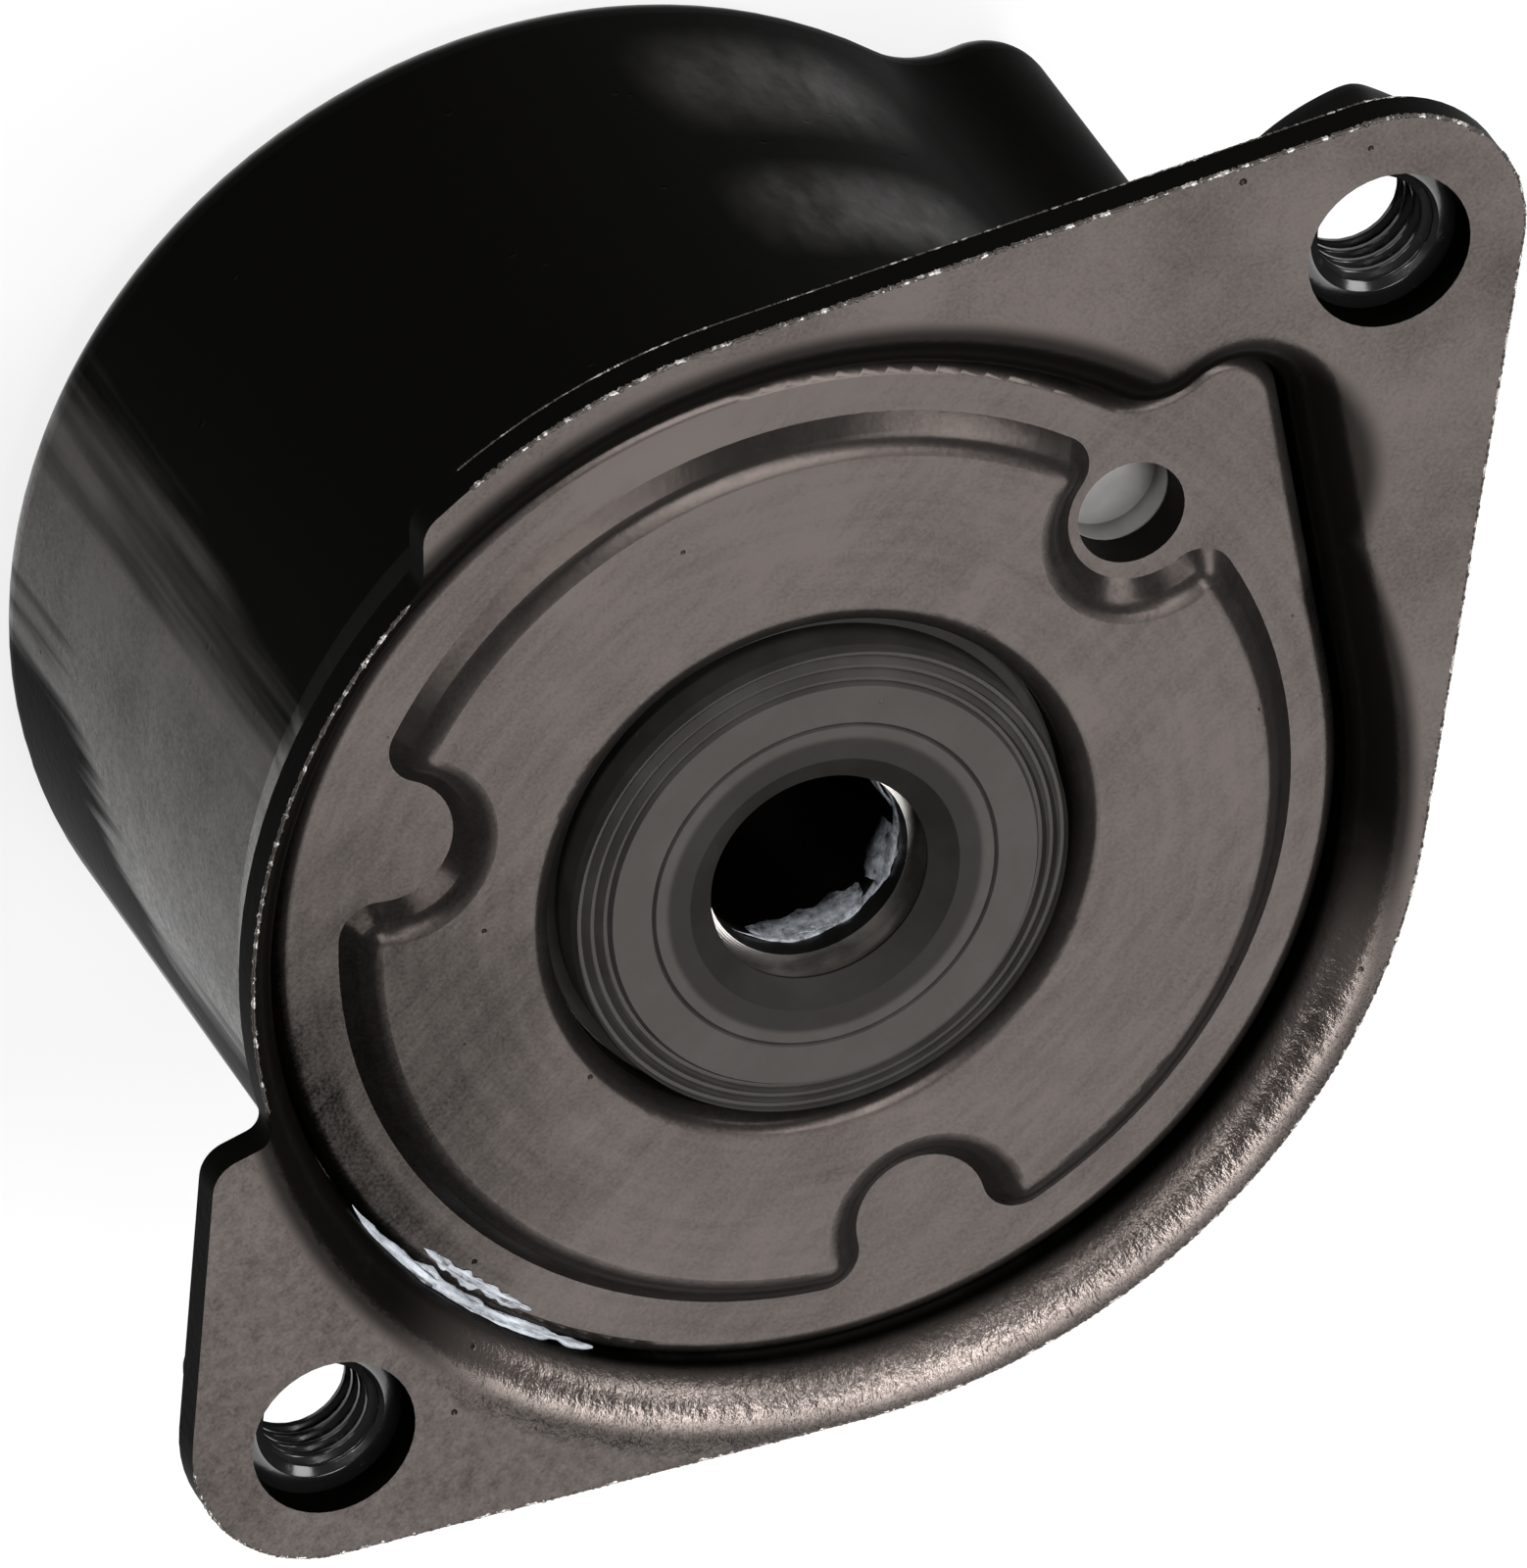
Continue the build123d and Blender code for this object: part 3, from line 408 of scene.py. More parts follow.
def spring_points(size):
    """Torsion spring: a round wire carried along a helix with two bent legs.

    The helix turns at an even rate round the pivot axis from low to high and
    ends where the upper leg leaves it. Both legs are a quarter bend or less and
    a straight: the lower one runs back along the coil and down, the upper one
    out along X. Across the wire, one direction is the path's cross product
    with the radius, or straight down on the upper leg, and the other is at
    right angles to it and the path.
    """
    turns = np.linspace(0, 1, 360)[:, None]
    end = math.asin((size.leg_line - size.bend) / (size.radius + size.bend))
    angle = end - TURN * size.turns * (1 - turns)
    radial = np.hstack([np.cos(angle), np.sin(angle), 0 * angle])
    helix = size.radius * radial + (size.low + (size.high - size.low) * turns) * np.array([[0, 0, 1]])

    up = np.array([[0.0, 0.0, 1.0]])
    back = np.cross(radial[:1], up)
    bend = np.linspace(0, math.pi / 2, 14)[:-1, None]
    foot = helix[:1] - size.bend * up
    lower = foot + size.bend * (np.cos(bend) * back + np.sin(bend) * up)
    drop = np.linspace(size.foot - foot[0, 2], 0, 6)[:-1, None]
    lower = np.vstack([foot + size.bend * back + drop * up, lower])

    bend = np.linspace(0, math.pi / 2 + end, 14)[1:, None]
    out, along = radial[-1:], np.cross(up, radial[-1:])
    upper = helix[-1:] + size.bend * (out * (1 - np.cos(bend)) + along * np.sin(bend))
    reach = np.linspace(0, size.leg_end - upper[-1, 0], 8)[1:, None]
    upper = np.vstack([upper, upper[-1:] + reach * np.array([[1, 0, 0]])])

    path = np.vstack([lower, helix, upper])
    way = np.gradient(path, axis=0)
    way = way / np.linalg.norm(way, axis=1, keepdims=True)
    outward = np.vstack([np.repeat(radial[:1], len(lower), 0), radial])
    first = np.vstack([np.cross(way[: len(outward)], outward), np.repeat(-up, len(upper), 0)])
    first = first / np.linalg.norm(first, axis=1, keepdims=True)
    second = np.cross(first, way)
    v = np.linspace(0, TURN, 24, endpoint=False)[None, :, None]
    return path[:, None] + size.wire * (np.cos(v) * first[:, None] + np.sin(v) * second[:, None])


def sheared_edge(circles, first, last, height, size, seed):
    """Bead of torn coat along an outline that rounds the given circles.

    The outline is that of a belt round circles (x, y, radius): for each
    direction the circle that reaches furthest gives the point, and the points
    are then spread evenly along the path. The bead's section is a circle whose
    radius and middle waver by sums of seeded sines, thin at both ends.
    """
    way = np.radians(np.linspace(first, last, 1600))
    x, y, r = np.array(circles).T[:, :, None]
    reach = x * np.cos(way) + y * np.sin(way) + r
    k, column = np.argmax(reach, 0), np.arange(way.size)
    path = np.stack(
        [x[k, 0] + r[k, 0] * np.cos(way), y[k, 0] + r[k, 0] * np.sin(way)], -1
    )
    run = np.concatenate([[0], np.cumsum(np.linalg.norm(np.diff(path, axis=0), axis=1))])
    spread = np.linspace(0, run[-1], int(run[-1] * 9))
    path = np.stack([np.interp(spread, run, path[:, i]) for i in (0, 1)], -1)
    out = np.stack([np.interp(spread, run, f(way)) for f in (np.cos, np.sin)], -1)
    s = (spread / run[-1] * TURN)[:, None]
    v = np.linspace(0, TURN, 8, endpoint=False)[None, :]
    ends = np.clip(np.minimum(s, TURN - s) * 20, 0.02, 1)
    radius = size * ends * (1 + 0.45 * ripple(s * 29, seed) * ripple(s * 5, seed + 1))
    radius = radius * (1 + 0.35 * ripple(s * 97, seed + 2))
    depth = -0.6 * size + 0.7 * size * ripple(s * 37, seed + 3) * ripple(s * 11, seed + 4)
    offset = depth + radius * np.cos(v)
    return np.stack(
        [
            path[:, :1] + out[:, :1] * offset,
            path[:, 1:] + out[:, 1:] * offset,
            height - radius * np.sin(v),
        ],
        -1,
    )


def smear_points(start, stop, line, width, thickness, lean, seed):
    """Lumpy smear as a tube along an arc round the pivot axis.

    The path is the circle whose radius and height are given, from the start to
    the stop angle. The section is an ellipse of the given width and thickness,
    leaning by an angle off the horizontal. Both shrink to nothing at the ends
    as the root of the distance from them, and grow and shrink along the path
    by sums of seeded sines.
    """
    t = np.linspace(0, 1, 220)[:, None]
    angle = np.radians(start + (stop - start) * t)
    v = np.linspace(0, TURN, 20, endpoint=False)[None, :]
    taper = np.sqrt(np.clip(4 * t * (1 - t), 0, 1)) * np.clip(t * 6, 0, 1) ** 0.5
    s = t * TURN
    lumps = 1 + 0.4 * ripple(s, seed) + 0.06 * ripple(s * 4, seed + 1)
    shift = 0.25 * ripple(s * 0.7, seed + 2)
    across = width * taper * lumps * np.cos(v)
    up = thickness * taper * lumps * np.sin(v) * (1 + 0.12 * ripple(s * 3 + v, seed + 3))
    tilt = math.radians(lean)
    radius = line[0] + shift * width + across * math.cos(tilt) - up * math.sin(tilt)
    height = line[1] + across * math.sin(tilt) + up * math.cos(tilt)
    return np.stack([radius * np.cos(angle), radius * np.sin(angle), height], -1)


# Settings


class CoatSettings(bpy.types.PropertyGroup):
    """The black coat on the drum and the plate."""

    colour: FloatVectorProperty(
        name="Coat", description="Colour of the black coat", subtype="COLOR",
        default=(0.011, 0.0098, 0.0092), min=0, max=1,
    )
    tint: FloatVectorProperty(
        name="Sheen", description="Tint of the light that the coat reflects", subtype="COLOR",
        default=(1.0, 0.84, 0.77), min=0, max=1,
    )
    # Painted sheen: the pale colour that paints the highlight on the roll's south side.
    roll_sheen_colour: FloatVectorProperty(
        name="Burnish", description="Colour of the coat where the roll is burnished",
        subtype="COLOR", default=(0.17, 0.143, 0.132), min=0, max=1,
    )
    roughness: FloatProperty(
        name="Roughness", description="Roughness of the coat", default=0.24, min=0.02, max=1,
    )
    peel: FloatProperty(
        name="Orange peel", description="Height of the coat's waves, in millimetres",
        default=0.004, min=0, max=0.05, precision=4,
    )


class NutSettings(bpy.types.PropertyGroup):
    """The two weld nuts, in millimetres."""

    across_flats: FloatProperty(
        name="Across flats", description="Width over two flats", default=13.0, min=8,
    )
    height: FloatProperty(
        name="Height", description="Height of the nut", default=6.1, min=2,
    )
    low: FloatProperty(
        name="Lower face", description="Height of the nut's free face", default=40.5,
    )
    minor: FloatProperty(
        name="Minor radius", description="Radius at the thread's crests", default=3.4,
    )
    major: FloatProperty(
        name="Major radius", description="Radius at the thread's roots", default=4.0,
    )
    pitch: FloatProperty(
        name="Pitch", description="Rise of one turn of the thread", default=1.25,
    )


class SpringSettings(bpy.types.PropertyGroup):
    """The torsion spring, in millimetres."""

    radius: FloatProperty(
        name="Coil radius", description="From the axis to the wire's middle", default=27.6, min=5,
    )
    wire: FloatProperty(
        name="Wire radius", description="Radius of the round wire", default=2.4, min=0.2,
    )
    turns: FloatProperty(
        name="Turns", description="Number of turns of the coil", default=3.4, min=1,
    )
    low: FloatProperty(
        name="Coil bottom", description="Height of the wire's middle at the lower end", default=18.8,
    )
    high: FloatProperty(
        name="Coil top", description="Height of the wire's middle at the upper end", default=36.75,
    )
    bend: FloatProperty(
        name="Leg bend", description="Bend radius of both legs", default=4.0, min=1,
    )
    foot: FloatProperty(
        name="Lower leg", description="Height at which the lower leg ends", default=13.9,
    )
    leg_end: FloatProperty(
        name="Upper leg", description="How far out the upper leg ends", default=36.6,
    )
    leg_line: FloatProperty(
        name="Leg line", description="Y of the upper leg", default=-3.1,
    )


class GreaseSettings(bpy.types.PropertyGroup):
    """Pale grease that was pressed out."""

    colour: FloatVectorProperty(
        name="Grease", description="Colour of the grease", subtype="COLOR",
        default=(0.50, 0.53, 0.58), min=0, max=1,
    )


class StageSettings(bpy.types.PropertyGroup):
    """Floor, lamps and camera."""

    floor: FloatVectorProperty(
        name="Floor", description="Colour of the floor", subtype="COLOR",
        default=(0.9, 0.9, 0.9), min=0, max=1,
    )
    glow: FloatProperty(
        name="Floor glow", description="Share of plain white in what is seen of the floor",
        default=0.8, min=0, max=1, subtype="FACTOR",
    )
    air: FloatProperty(
        name="Ambient", description="Strength of the light from all round", default=0.14, min=0,
    )
    key: FloatProperty(
        name="Key lamp", description="Power of the soft box, in watts", default=7.2, min=0,
    )
    fill: FloatProperty(
        name="Fill lamp", description="Power of the wide fill, in watts", default=1.5, min=0,
    )
    top: FloatProperty(
        name="Top lamp", description="Power of the overhead box, in watts", default=13.0, min=0,
    )
    strip: FloatProperty(
        name="Strip lamp", description="Power of the strip light, in watts", default=8.0, min=0,
    )
    side: FloatProperty(
        name="Side lamp", description="Power of the box at the side, in watts", default=9.0, min=0,
    )
    frame_height: FloatProperty(
        name="Frame height", description="Height that the picture covers at the part",
        default=0.0944, unit="LENGTH",
    )
    distance: FloatProperty(
        name="Camera distance", description="From the camera to the part", default=3.0, unit="LENGTH",
    )


# Operators


class HOUSING_OT_drum(bpy.types.Operator):
    """Coats the drum: orange peel, drawing marks and the stretched roll of the mouth"""

    bl_idname = "housing.drum"
    bl_label = "Drum"

    def execute(self, context):
        coat = context.scene.housing_coat
        f = Finish("coated_drum")
        radius, around = f.radius(), f.turned()
        upward = f.facing()[2]
        waves = f.noise(0.55, 2.0)
        grain = f.noise(4.0, 2.0, 0.7)
        dents = f.noise(0.07, 1.0)
        drawn = f.noise(0.5, 3.0, place=f.bent(1.0, 1.0, 0.05))
        wall = f.z.rise(46.3, 45.0)
        south = f.y.rise(4.0, -12.0) * f.x.rise(24.0, 10.0)
        mouth = f.z.rise(45.2, 46.5)
        roll = radius.band(34.6, 39.2, 0.8) * mouth * (0.12 + 0.88 * south)
        stretch = f.noise(0.9, 4.0, 0.7, f.bent(1.1, 0.7, 1.0))
        pebbles = f.noise(1.3, 3.0, 0.6)
        rough_skin = f.x.rise(-12.0, -40.0) * 0.7 + 0.3
        # Painted sheen: on the roll's south side the coat turns pale and metallic, which paints the roll's
        # highlight.
        painted_roll_sheen = radius.band(35.3, 37.9, 0.7) * f.z.rise(45.9, 46.9) * south
        # Painted shadow: the coat goes black on the roll round the mouth away from the south, and in a
        # round patch beside the tab.
        by_tab = f.radius(*TAB_PLACE).rise(11.6, 9.4)
        shaded = radius.rise(39.0, 37.6).most(by_tab) * mouth * (1.0 - south) * 0.85
        pits = f.cells(0.22).rise(0.06, 0.03)
        height = (
            waves * (coat.peel * 2.0)
            + grain * (coat.peel * 0.25)
            + dents * (coat.peel * 9.0)
            + drawn * wall * (coat.peel * 2.0)
            + stretch * roll * 0.2
            + pebbles * rough_skin * 0.045
            - pits * 0.04
        )
        cloud = f.noise(0.1, 4.0, 0.6)
        worn = f.noise(0.35, 4.0, 0.65).rise(0.6, 0.8)
        colour = f.blend(worn * 0.6, tuple(coat.colour), (0.03, 0.026, 0.023))
        colour = f.blend(painted_roll_sheen, colour, tuple(coat.roll_sheen_colour))

        # Painted shade: the walls and the sheared edge go to the dull black; painted reflections keep the
        # coat's shine on the far left, the end corner and the lobe's flank
        side = abs(around) + (drawn - 0.5) * 24.0
        lower = f.z.rise(10.0, 30.0) * 18.0
        left = side.rise(104.0, 122.0) * (side - lower).rise(137.0, 126.0)
        left = (left + side.rise(157.0, 168.0) * 0.8).least(1.0) * wall
        corner = f.z.rise(3.6, 1.2)
        upright = upward.rise(0.5, 0.12)
        mottle = f.noise(0.3, 4.0, 0.65, f.stretched(1, 1, 0.4))
        blend = around.band(17.0, 38.0, 6.0) * (f.z.band(9.0, 17.0, 4.0) + f.z.band(25.0, 33.0, 3.0))
        glints = f.noise(0.9, 4.0, 0.7, f.stretched(1, 1, 0.7))
        painted_reflection = (left.most(corner) * (0.8 + 0.75 * mottle)).most(
            blend * mottle.rise(0.0, 0.8) * (0.3 + 0.5 * glints)
        )
        # The coat is duller at random in clouds, grain, wear, pits and the rough skin of the lower ear; a
        # painted shade darkens it towards -X past x = -20.
        patches = (
            (cloud - 0.5) * 0.8 + (grain - 0.5) * 0.9 + worn * 0.2 + pits * 0.5
            + f.x.rise(-20.0, -42.0) * 0.08 + (pebbles - 0.5) * rough_skin * 0.9
        )
        painted_shade_and_dull = (upright * (1.0 - painted_reflection.least(1.0))).most((0.14 + patches).most(shaded)).least(0.99)
        material = f.surface(
            painted_shade_and_dull=painted_shade_and_dull,
            base_color=colour,
            metallic=painted_roll_sheen,
            roughness=coat.roughness - 0.05 + cloud * 0.1 + roll * 0.05,
            specular_ior_level=0.32,
            specular_tint=tuple(coat.tint),
            normal=f.bump(height),
        )
        dress(material, "drum_housing")
        return {"FINISHED"}


class HOUSING_OT_edges(bpy.types.Operator):
    """Adds the torn coat along the sheared edges of the flange"""

    bl_idname = "housing.edges"
    bl_label = "Sheared edges"

    def execute(self, context):
        coat = context.scene.housing_coat
        f = Finish("torn_coat")
        torn = f.noise(1.1, 4.0, 0.7)
        bare = torn.rise(0.52, 0.6)
        material = f.surface(
            base_color=f.blend(bare, (0.02, 0.018, 0.016), (0.42, 0.40, 0.38)),
            metallic=bare * 0.8,
            roughness=0.3 + torn * 0.15,
            specular_ior_level=0.4,
            specular_tint=tuple(coat.tint),
            normal=f.bump(f.noise(3.0, 3.0, 0.7) * 0.06),
        )
        for name, circles, first, last, height, size in (
            ("torn_edge_upper", UPPER_OUTLINE, 80.0, -1.0, FACE - 0.09, 0.14),
            ("torn_edge_lower", LOWER_OUTLINE, -1.5, -222.0, FACE - 0.07, 0.10),
            ("torn_edge_trim", TRIM_OUTLINE, 148.0, 91.0, FACE - 0.08, 0.12),
            ("torn_edge_back", UPPER_OUTLINE, 80.0, 30.0, FACE - 2.33, 0.08),
        ):
            points = sheared_edge(circles, first, last, height, size, len(name))
            mesh = grid_mesh(name + "_skin", points, False, True, (True, True))
            add_piece(name, mesh, material, "housing", "coated_steel")
        return {"FINISHED"}


class HOUSING_OT_plate(bpy.types.Operator):
    """Coats the closing plate: cloudy sheen, drawing streaks and scratches"""

    bl_idname = "housing.plate"
    bl_label = "Closing plate"

    def execute(self, context):
        coat = context.scene.housing_coat
        f = Finish("coated_plate")
        radius, upward = f.radius(), f.facing()[2]
        waves = f.noise(0.5, 2.0)
        grain = f.noise(4.0, 2.0, 0.7)
        dents = f.noise(0.09, 2.0)
        streaks = f.noise(0.8, 4.0, 0.6, f.stretched(0.15, 1.4, 1.0))
        drawn = f.noise(0.7, 3.0, 0.6, f.bent(0.15, 1.6, 1.0))
        pits = f.cells(0.24).rise(0.05, 0.025)
        height = (
            waves * (coat.peel * 1.5)
            + grain * (coat.peel * 0.25)
            + dents * (coat.peel * 8.0)
            + (streaks + drawn) * (coat.peel * 0.8)
            + f.noise(1.1, 3.0, 0.6) * 0.012
            - pits * 0.03
        )
        cloud = f.noise(0.12, 4.0, 0.62)
        colour = f.blend(cloud.rise(0.45, 0.75), tuple(coat.colour), (0.022, 0.02, 0.019))
        patches = (
            (cloud - 0.5) * 0.75 + (grain - 0.5) * 0.75
            + (streaks - 0.5) * 0.4 + (drawn - 0.5) * 0.4 + pits * 0.5
            # Painted shade round (-30, 16) and on the rim at the left, a painted highlight round (24, 28),
            # and the rounded rim outside 33.6 mm painted dark away from the tab.
            + f.radius(-30.0, 16.0).rise(27.0, 4.0) * 0.45
            + radius.band(31.5, 36.0, 0.5) * f.radius(-34.0, 8.0).rise(20.0, 4.0) * 0.25
            - f.radius(24.0, 28.0).rise(22.0, 6.0) * 0.13
            + radius.rise(33.6, 34.2) * (1.0 - f.radius(*TAB_PLACE).rise(12.0, 10.0)) * 0.5
        )
        # Painted shade: the plate's slopes go towards the black.
        painted_shade_and_dull = (0.14 + patches).most(upward.rise(0.4, 0.1) * 0.8).most(0.0).least(0.97)
        material = f.surface(
            painted_shade_and_dull=painted_shade_and_dull,
            base_color=colour,
            roughness=coat.roughness - 0.04 + cloud * 0.1,
            specular_ior_level=0.32,
            specular_tint=tuple(coat.tint),
            normal=f.bump(height),
        )
        dress(material, "closing_plate")
        return {"FINISHED"}


class HOUSING_OT_nuts(bpy.types.Operator):
    """Makes both weld nuts with their turned threads"""

    bl_idname = "housing.nuts"
    bl_label = "Weld nuts"

    def execute(self, context):
        size = context.scene.housing_nuts
        f = Finish("glossy_black_nut")
        grain = f.noise(2.2, 2.0)
        dust = f.noise(0.9, 4.0, 0.7).rise(0.58, 0.75)
        off_axis = f.radius(NUT_PLACES[0][1][0]).least(f.radius(NUT_PLACES[1][1][0]))
        material = f.surface(
            base_color=f.blend(dust * 0.4, (0.008, 0.008, 0.008), (0.03, 0.028, 0.026)),
            roughness=0.16 + dust * 0.15,
            # Painted shade: beyond the thread the nut goes half way to the black, and past 5.4 mm from its
            # axis, its faces and sides, nearly all the way.
            painted_shade_and_dull=(off_axis.rise(3.9, 4.5) * 0.5).most(off_axis.rise(5.0, 5.4) * 0.95),
            specular_ior_level=0.5,
            normal=f.bump(grain * 0.006),
        )
        for name, centre, turn in NUT_PLACES:
            mesh = grid_mesh(name + "_skin", nut_points(centre, turn, size), True, True)
            add_piece(name + "_threaded", mesh, material, "housing", "black_nut", name)
        return {"FINISHED"}


class HOUSING_OT_seal(bpy.types.Operator):
    """Gives the seal its matte moulded rubber"""

    bl_idname = "housing.seal"
    bl_label = "Seal"

    def execute(self, context):
        f = Finish("moulded_nitrile")
        radius = f.radius()
        bloom = f.noise(0.25, 4.0, 0.6)
        rings = (radius * 9.0 + f.noise(0.3, 2.0) * 2.0).sine()
        specks = f.cells(0.35).rise(0.07, 0.04)
        material = f.surface(
            base_color=f.blend(
                bloom.rise(0.35, 0.75) * 0.6 + specks * 0.3,
                (0.02, 0.019, 0.0178),
                (0.038, 0.0365, 0.035),
            ),
            roughness=0.5 + bloom * 0.12,
            specular_ior_level=0.3,
            specular_tint=(1.0, 0.92, 0.86),
            # Painted shade: inside a radius of about 10 mm and above a height of 46 to 47 mm, the seal's
            # chamfer goes half way to the black.
            painted_shade_and_dull=(radius.rise(10.4, 9.9) * 0.55).least(f.z.rise(46.0, 47.0)),
            normal=f.bump(f.noise(3.0, 3.0, 0.6) * 0.006 + rings * 0.0008 + specks * 0.02),
        )
        dress(material, "seal_ring", "rear_o_ring", "free_stop_buffer", "full_stop_buffer")
        return {"FINISHED"}


class HOUSING_OT_bare_steel(bpy.types.Operator):
    """Gives the turned and pressed steel its tool marks"""

    bl_idname = "housing.bare_steel"
    bl_label = "Bare steel"

    def execute(self, context):
        f = Finish("turned_steel")
        radius = f.radius()
        # Painted shade: deep in the bore, inside 8.6 mm and below 44.4 mm, the steel goes black; inside 9.5
        # mm it is also darkened by a quarter to three quarters, following the stain.
        deep = radius.rise(8.6, 8.2) * f.z.rise(44.4, 42.8)
        feed = ((f.z + radius) * 42.0).sine()
        stain = f.noise(0.3, 4.0, 0.6)
        material = f.surface(
            base_color=f.blend(stain.rise(0.4, 0.8), (0.46, 0.44, 0.42), (0.26, 0.25, 0.24)),
            metallic=1.0,
            painted_shade_and_dull=(deep * 0.97).most(radius.rise(9.5, 9.0) * (0.25 + stain * 0.5)),
            roughness=0.2 + stain * 0.2,
            normal=f.bump(feed * 0.0012 + f.noise(1.5, 2.0) * 0.004),
        )
        dress(
            material, "pivot_hub", "seal_carrier", "front_thrust_washer",
            "rear_thrust_washer", "travel_stop",
        )

        dress(phosphated("phosphated_steel"), "spring_arbor", "retaining_ring", "preload_washer")
        return {"FINISHED"}


class HOUSING_OT_spring(bpy.types.Operator):
    """Makes the torsion spring, which winds up between the drum and the arbor"""

    bl_idname = "housing.spring"
    bl_label = "Torsion spring"

    def execute(self, context):
        size = context.scene.housing_spring
        mesh = grid_mesh("wound_wire_skin", spring_points(size), False, True, (True, True))
        name = "wound_torsion_spring"
        piece = add_piece(name, mesh, phosphated("phosphated_wire"), None, "spring_steel", "torsion_spring")
        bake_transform(piece)
        return {"FINISHED"}


class HOUSING_OT_plastic(bpy.types.Operator):
    """Gives the moulded plastic rings their grain"""

    bl_idname = "housing.plastic"
    bl_label = "Plastic rings"

    def execute(self, context):
        for name, dark, pale, rough, nodes in (
            (
                "pale_moulding", (0.19, 0.185, 0.18), (0.32, 0.31, 0.30), 0.38,
                ("front_spring_seat", "spring_liner"),
            ),
            (
                "dark_moulding", (0.05, 0.05, 0.05), (0.09, 0.09, 0.088), 0.45,
                ("front_pivot_bush", "rear_pivot_bush", "damping_ring"),
            ),
        ):
            f = Finish(name)
            cloud = f.noise(0.5, 3.0, 0.6)
            material = f.surface(
                base_color=f.blend(cloud, dark, pale),
                roughness=rough + cloud * 0.1,
                specular_ior_level=0.5,
                normal=f.bump(f.noise(2.5, 3.0) * 0.006),
            )
            dress(material, *nodes)
        return {"FINISHED"}


class HOUSING_OT_grease(bpy.types.Operator):
    """Adds the pale grease pressed out at the plate's edge and in the bore"""

    bl_idname = "housing.grease"
    bl_label = "Grease"

    def execute(self, context):
        colour = tuple(context.scene.housing_grease.colour)
        f = Finish("pale_grease")
        streak = f.noise(1.1, 4.0, 0.65, f.bent(0.22, 2.2, 1.6))
        wisps = f.noise(0.9, 4.0, 0.7).rise(0.28, 0.62) * f.z.rise(41.4, 43.6)
        threads = f.noise(1.0, 4.0, 0.7, f.bent(0.3, 3.0, 2.0)).rise(0.30, 0.58)
        above = f.z.rise(44.7, 45.1)
        alpha = wisps * (1.0 - above) + threads * above
        material = f.surface(
            base_color=f.blend(streak.rise(0.35, 0.7), tuple(0.5 * c for c in colour), colour),
            alpha=alpha,
            roughness=0.28 + streak * 0.15,
            specular_ior_level=0.5,
            normal=f.bump(streak * 0.12 + f.noise(2.0, 3.0) * 0.02),
        )
        pieces = (
            ("grease_plate_edge", (166.0, 201.0, (34.45, 45.9), 0.55, 0.32, 20.0, 11), "housing"),
            ("grease_on_rim", (176.0, 192.0, (33.1, 46.06), 0.4, 0.07, 0.0, 31), "housing"),
            ("grease_in_bore", (-178.0, 38.0, (6.44, 43.1), 1.4, 0.16, 88.0, 23), "hub"),
            ("grease_at_bore_edge", (-176.0, 36.0, (6.46, 44.1), 0.45, 0.14, 88.0, 57), "hub"),
        )
        for name, shape, body in pieces:
            mesh = grid_mesh(name + "_skin", smear_points(*shape), False, True, (True, True))
            add_piece(name, mesh, material, body, "pale_plastic")
        return {"FINISHED"}


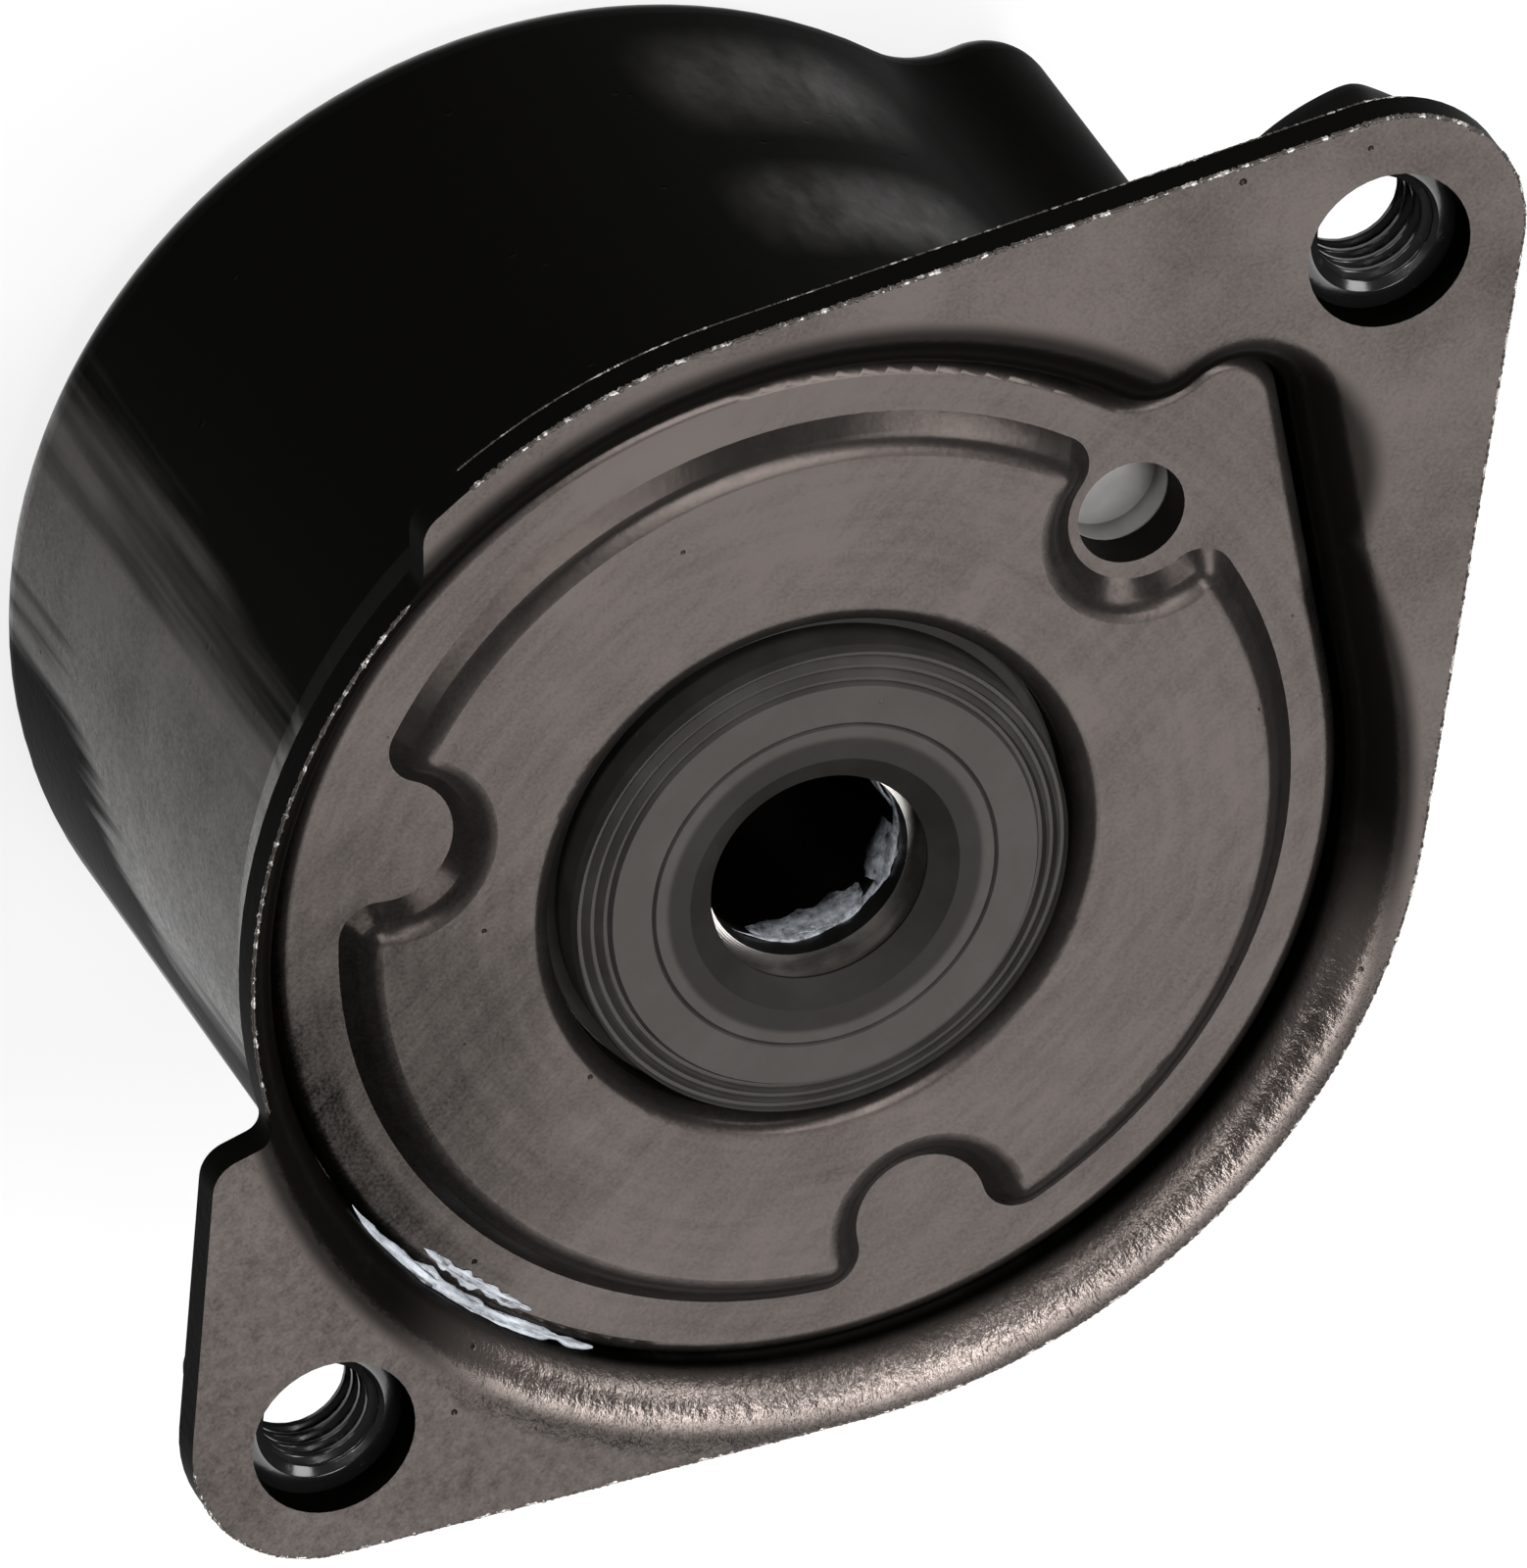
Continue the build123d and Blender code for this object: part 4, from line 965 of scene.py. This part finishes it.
class HOUSING_OT_stage(bpy.types.Operator):
    """Sets the floor, the soft lamps and the camera"""

    bl_idname = "housing.stage"
    bl_label = "Stage"

    def execute(self, context):
        scene = context.scene
        stage = scene.housing_stage

        f = Finish("pale_floor")
        mottle = f.noise(0.01, 2.0)
        base = f.blend(mottle, tuple(stage.floor), tuple(0.985 * c for c in stage.floor))
        paper = f.node(
            "ShaderNodeBsdfPrincipled",
            values={"Base Color": base, "Roughness": 0.9, "Specular IOR Level": 0.1},
        )
        white = f.node("ShaderNodeEmission", values={"Color": (1, 1, 1, 1), "Strength": 1.0})
        seen = f.light_path("Is Camera Ray") + f.light_path("Is Glossy Ray")
        seen = (seen + f.light_path("Is Transmission Ray")).least(1.0) * stage.glow
        mixed = f.node("ShaderNodeMixShader", values={0: seen, 1: paper, 2: white})
        f.node("ShaderNodeOutputMaterial", values={"Surface": mixed})

        # Rings of a disc: the radius grows as the square of the ring's share, and
        # the outer tenth rises as the cube of what is over nine tenths
        share = np.linspace(0, 1, 40)[1:, None]
        ring = share**2 * FLOOR_RADIUS
        rim = FLOOR_RIM * (np.clip(share - 0.9, 0, None) * 10) ** 3
        angle = np.linspace(0, TURN, 96, endpoint=False)[None, :]
        points = np.stack([ring * np.cos(angle), ring * np.sin(angle), rim + 0 * angle], -1)
        mesh = grid_mesh("floor_disc", points[::-1], False, True, (False, True))
        floor = bpy.data.objects.new("floor", mesh)
        mesh.materials.append(f.material)
        scene.collection.objects.link(floor)

        world = bpy.data.worlds.new("plain_air")
        world.use_nodes = True
        back = world.node_tree.nodes["Background"]
        back.inputs["Color"].default_value = (1.0, 1.0, 1.0, 1.0)
        back.inputs["Strength"].default_value = stage.air
        scene.world = world

        right = Vector(CAMERA_RIGHT).normalized()
        back_way = Vector(CAMERA_BACK).normalized()
        up = back_way.cross(right).normalized()
        right = up.cross(back_way)
        aim = Vector((0.0, 0.0, FACE * MM)) + right * AIM_SHIFT[0] + up * AIM_SHIFT[1]
        camera = bpy.data.objects.new("camera", bpy.data.cameras.new("camera"))
        camera.data.sensor_width = SENSOR
        camera.data.lens = SENSOR * stage.distance / stage.frame_height
        camera.data.clip_end = 100.0
        camera.matrix_world = Matrix.Translation(aim + back_way * stage.distance) @ Matrix(
            (right, up, back_way)
        ).transposed().to_4x4()
        scene.collection.objects.link(camera)
        scene.camera = camera

        centre = Vector((0.0, 0.0, 0.03))
        lamps = (       # name, way from the part, distance, width, height, power, seen in shine
            ("key_box", (-0.154, -0.583, 0.799), 1.2, 0.60, 0.60, stage.key, True),
            ("wide_fill", (0.0, 0.0, 1.0), 1.6, 1.6, 1.6, stage.fill, False),
            ("top_box", (0.2, -0.06, 0.98), 1.3, 0.80, 0.35, stage.top, True),
            ("edge_strip", (0.1, 0.81, 0.58), 1.3, 1.2, 0.12, stage.strip, True),
            ("side_box", (0.88, -0.02, 0.48), 1.3, 0.50, 0.60, stage.side, True),
        )
        for name, way, far, wide, tall, power, shines in lamps:
            lamp = bpy.data.lights.new(name, "AREA")
            lamp.shape = "RECTANGLE"
            lamp.size, lamp.size_y = wide, tall
            lamp.energy = power
            holder = bpy.data.objects.new(name, lamp)
            way = Vector(way).normalized()
            holder.location = centre + way * far
            holder.rotation_euler = way.to_track_quat("Z", "Y").to_euler()
            holder.visible_glossy = shines
            scene.collection.objects.link(holder)
        scene.view_settings.view_transform = "Standard"
        return {"FINISHED"}


class HOUSING_PT_panel(bpy.types.Panel):
    """Lists the settings and the pieces"""

    bl_label = "Spring housing"
    bl_idname = "HOUSING_PT_panel"
    bl_space_type = "VIEW_3D"
    bl_region_type = "UI"
    bl_category = "Spring housing"

    def draw(self, context):
        layout = self.layout
        for name in SETTINGS:
            group = getattr(context.scene, name)
            box = layout.box()
            box.label(text=SETTINGS[name].__doc__)
            for prop in SETTINGS[name].__annotations__:
                box.prop(group, prop)
        for operator in OPERATORS:
            layout.operator(operator.bl_idname)


SETTINGS = {
    "housing_coat": CoatSettings,
    "housing_nuts": NutSettings,
    "housing_spring": SpringSettings,
    "housing_grease": GreaseSettings,
    "housing_stage": StageSettings,
}
OPERATORS = (
    HOUSING_OT_drum,
    HOUSING_OT_edges,
    HOUSING_OT_plate,
    HOUSING_OT_nuts,
    HOUSING_OT_seal,
    HOUSING_OT_bare_steel,
    HOUSING_OT_spring,
    HOUSING_OT_plastic,
    HOUSING_OT_grease,
    HOUSING_OT_stage,
)


def register():
    for cls in (*SETTINGS.values(), *OPERATORS, HOUSING_PT_panel):
        bpy.utils.register_class(cls)
    for name, cls in SETTINGS.items():
        setattr(bpy.types.Scene, name, PointerProperty(type=cls))


def unregister():
    for name in SETTINGS:
        delattr(bpy.types.Scene, name)
    for cls in reversed((*SETTINGS.values(), *OPERATORS, HOUSING_PT_panel)):
        bpy.utils.unregister_class(cls)


def main():
    register()
    bpy.ops.housing.drum()
    bpy.ops.housing.edges()
    bpy.ops.housing.plate()
    bpy.ops.housing.nuts()
    bpy.ops.housing.seal()
    bpy.ops.housing.bare_steel()
    bpy.ops.housing.spring()
    bpy.ops.housing.plastic()
    bpy.ops.housing.grease()
    bpy.ops.housing.stage()


if __name__ == "__main__":
    main()
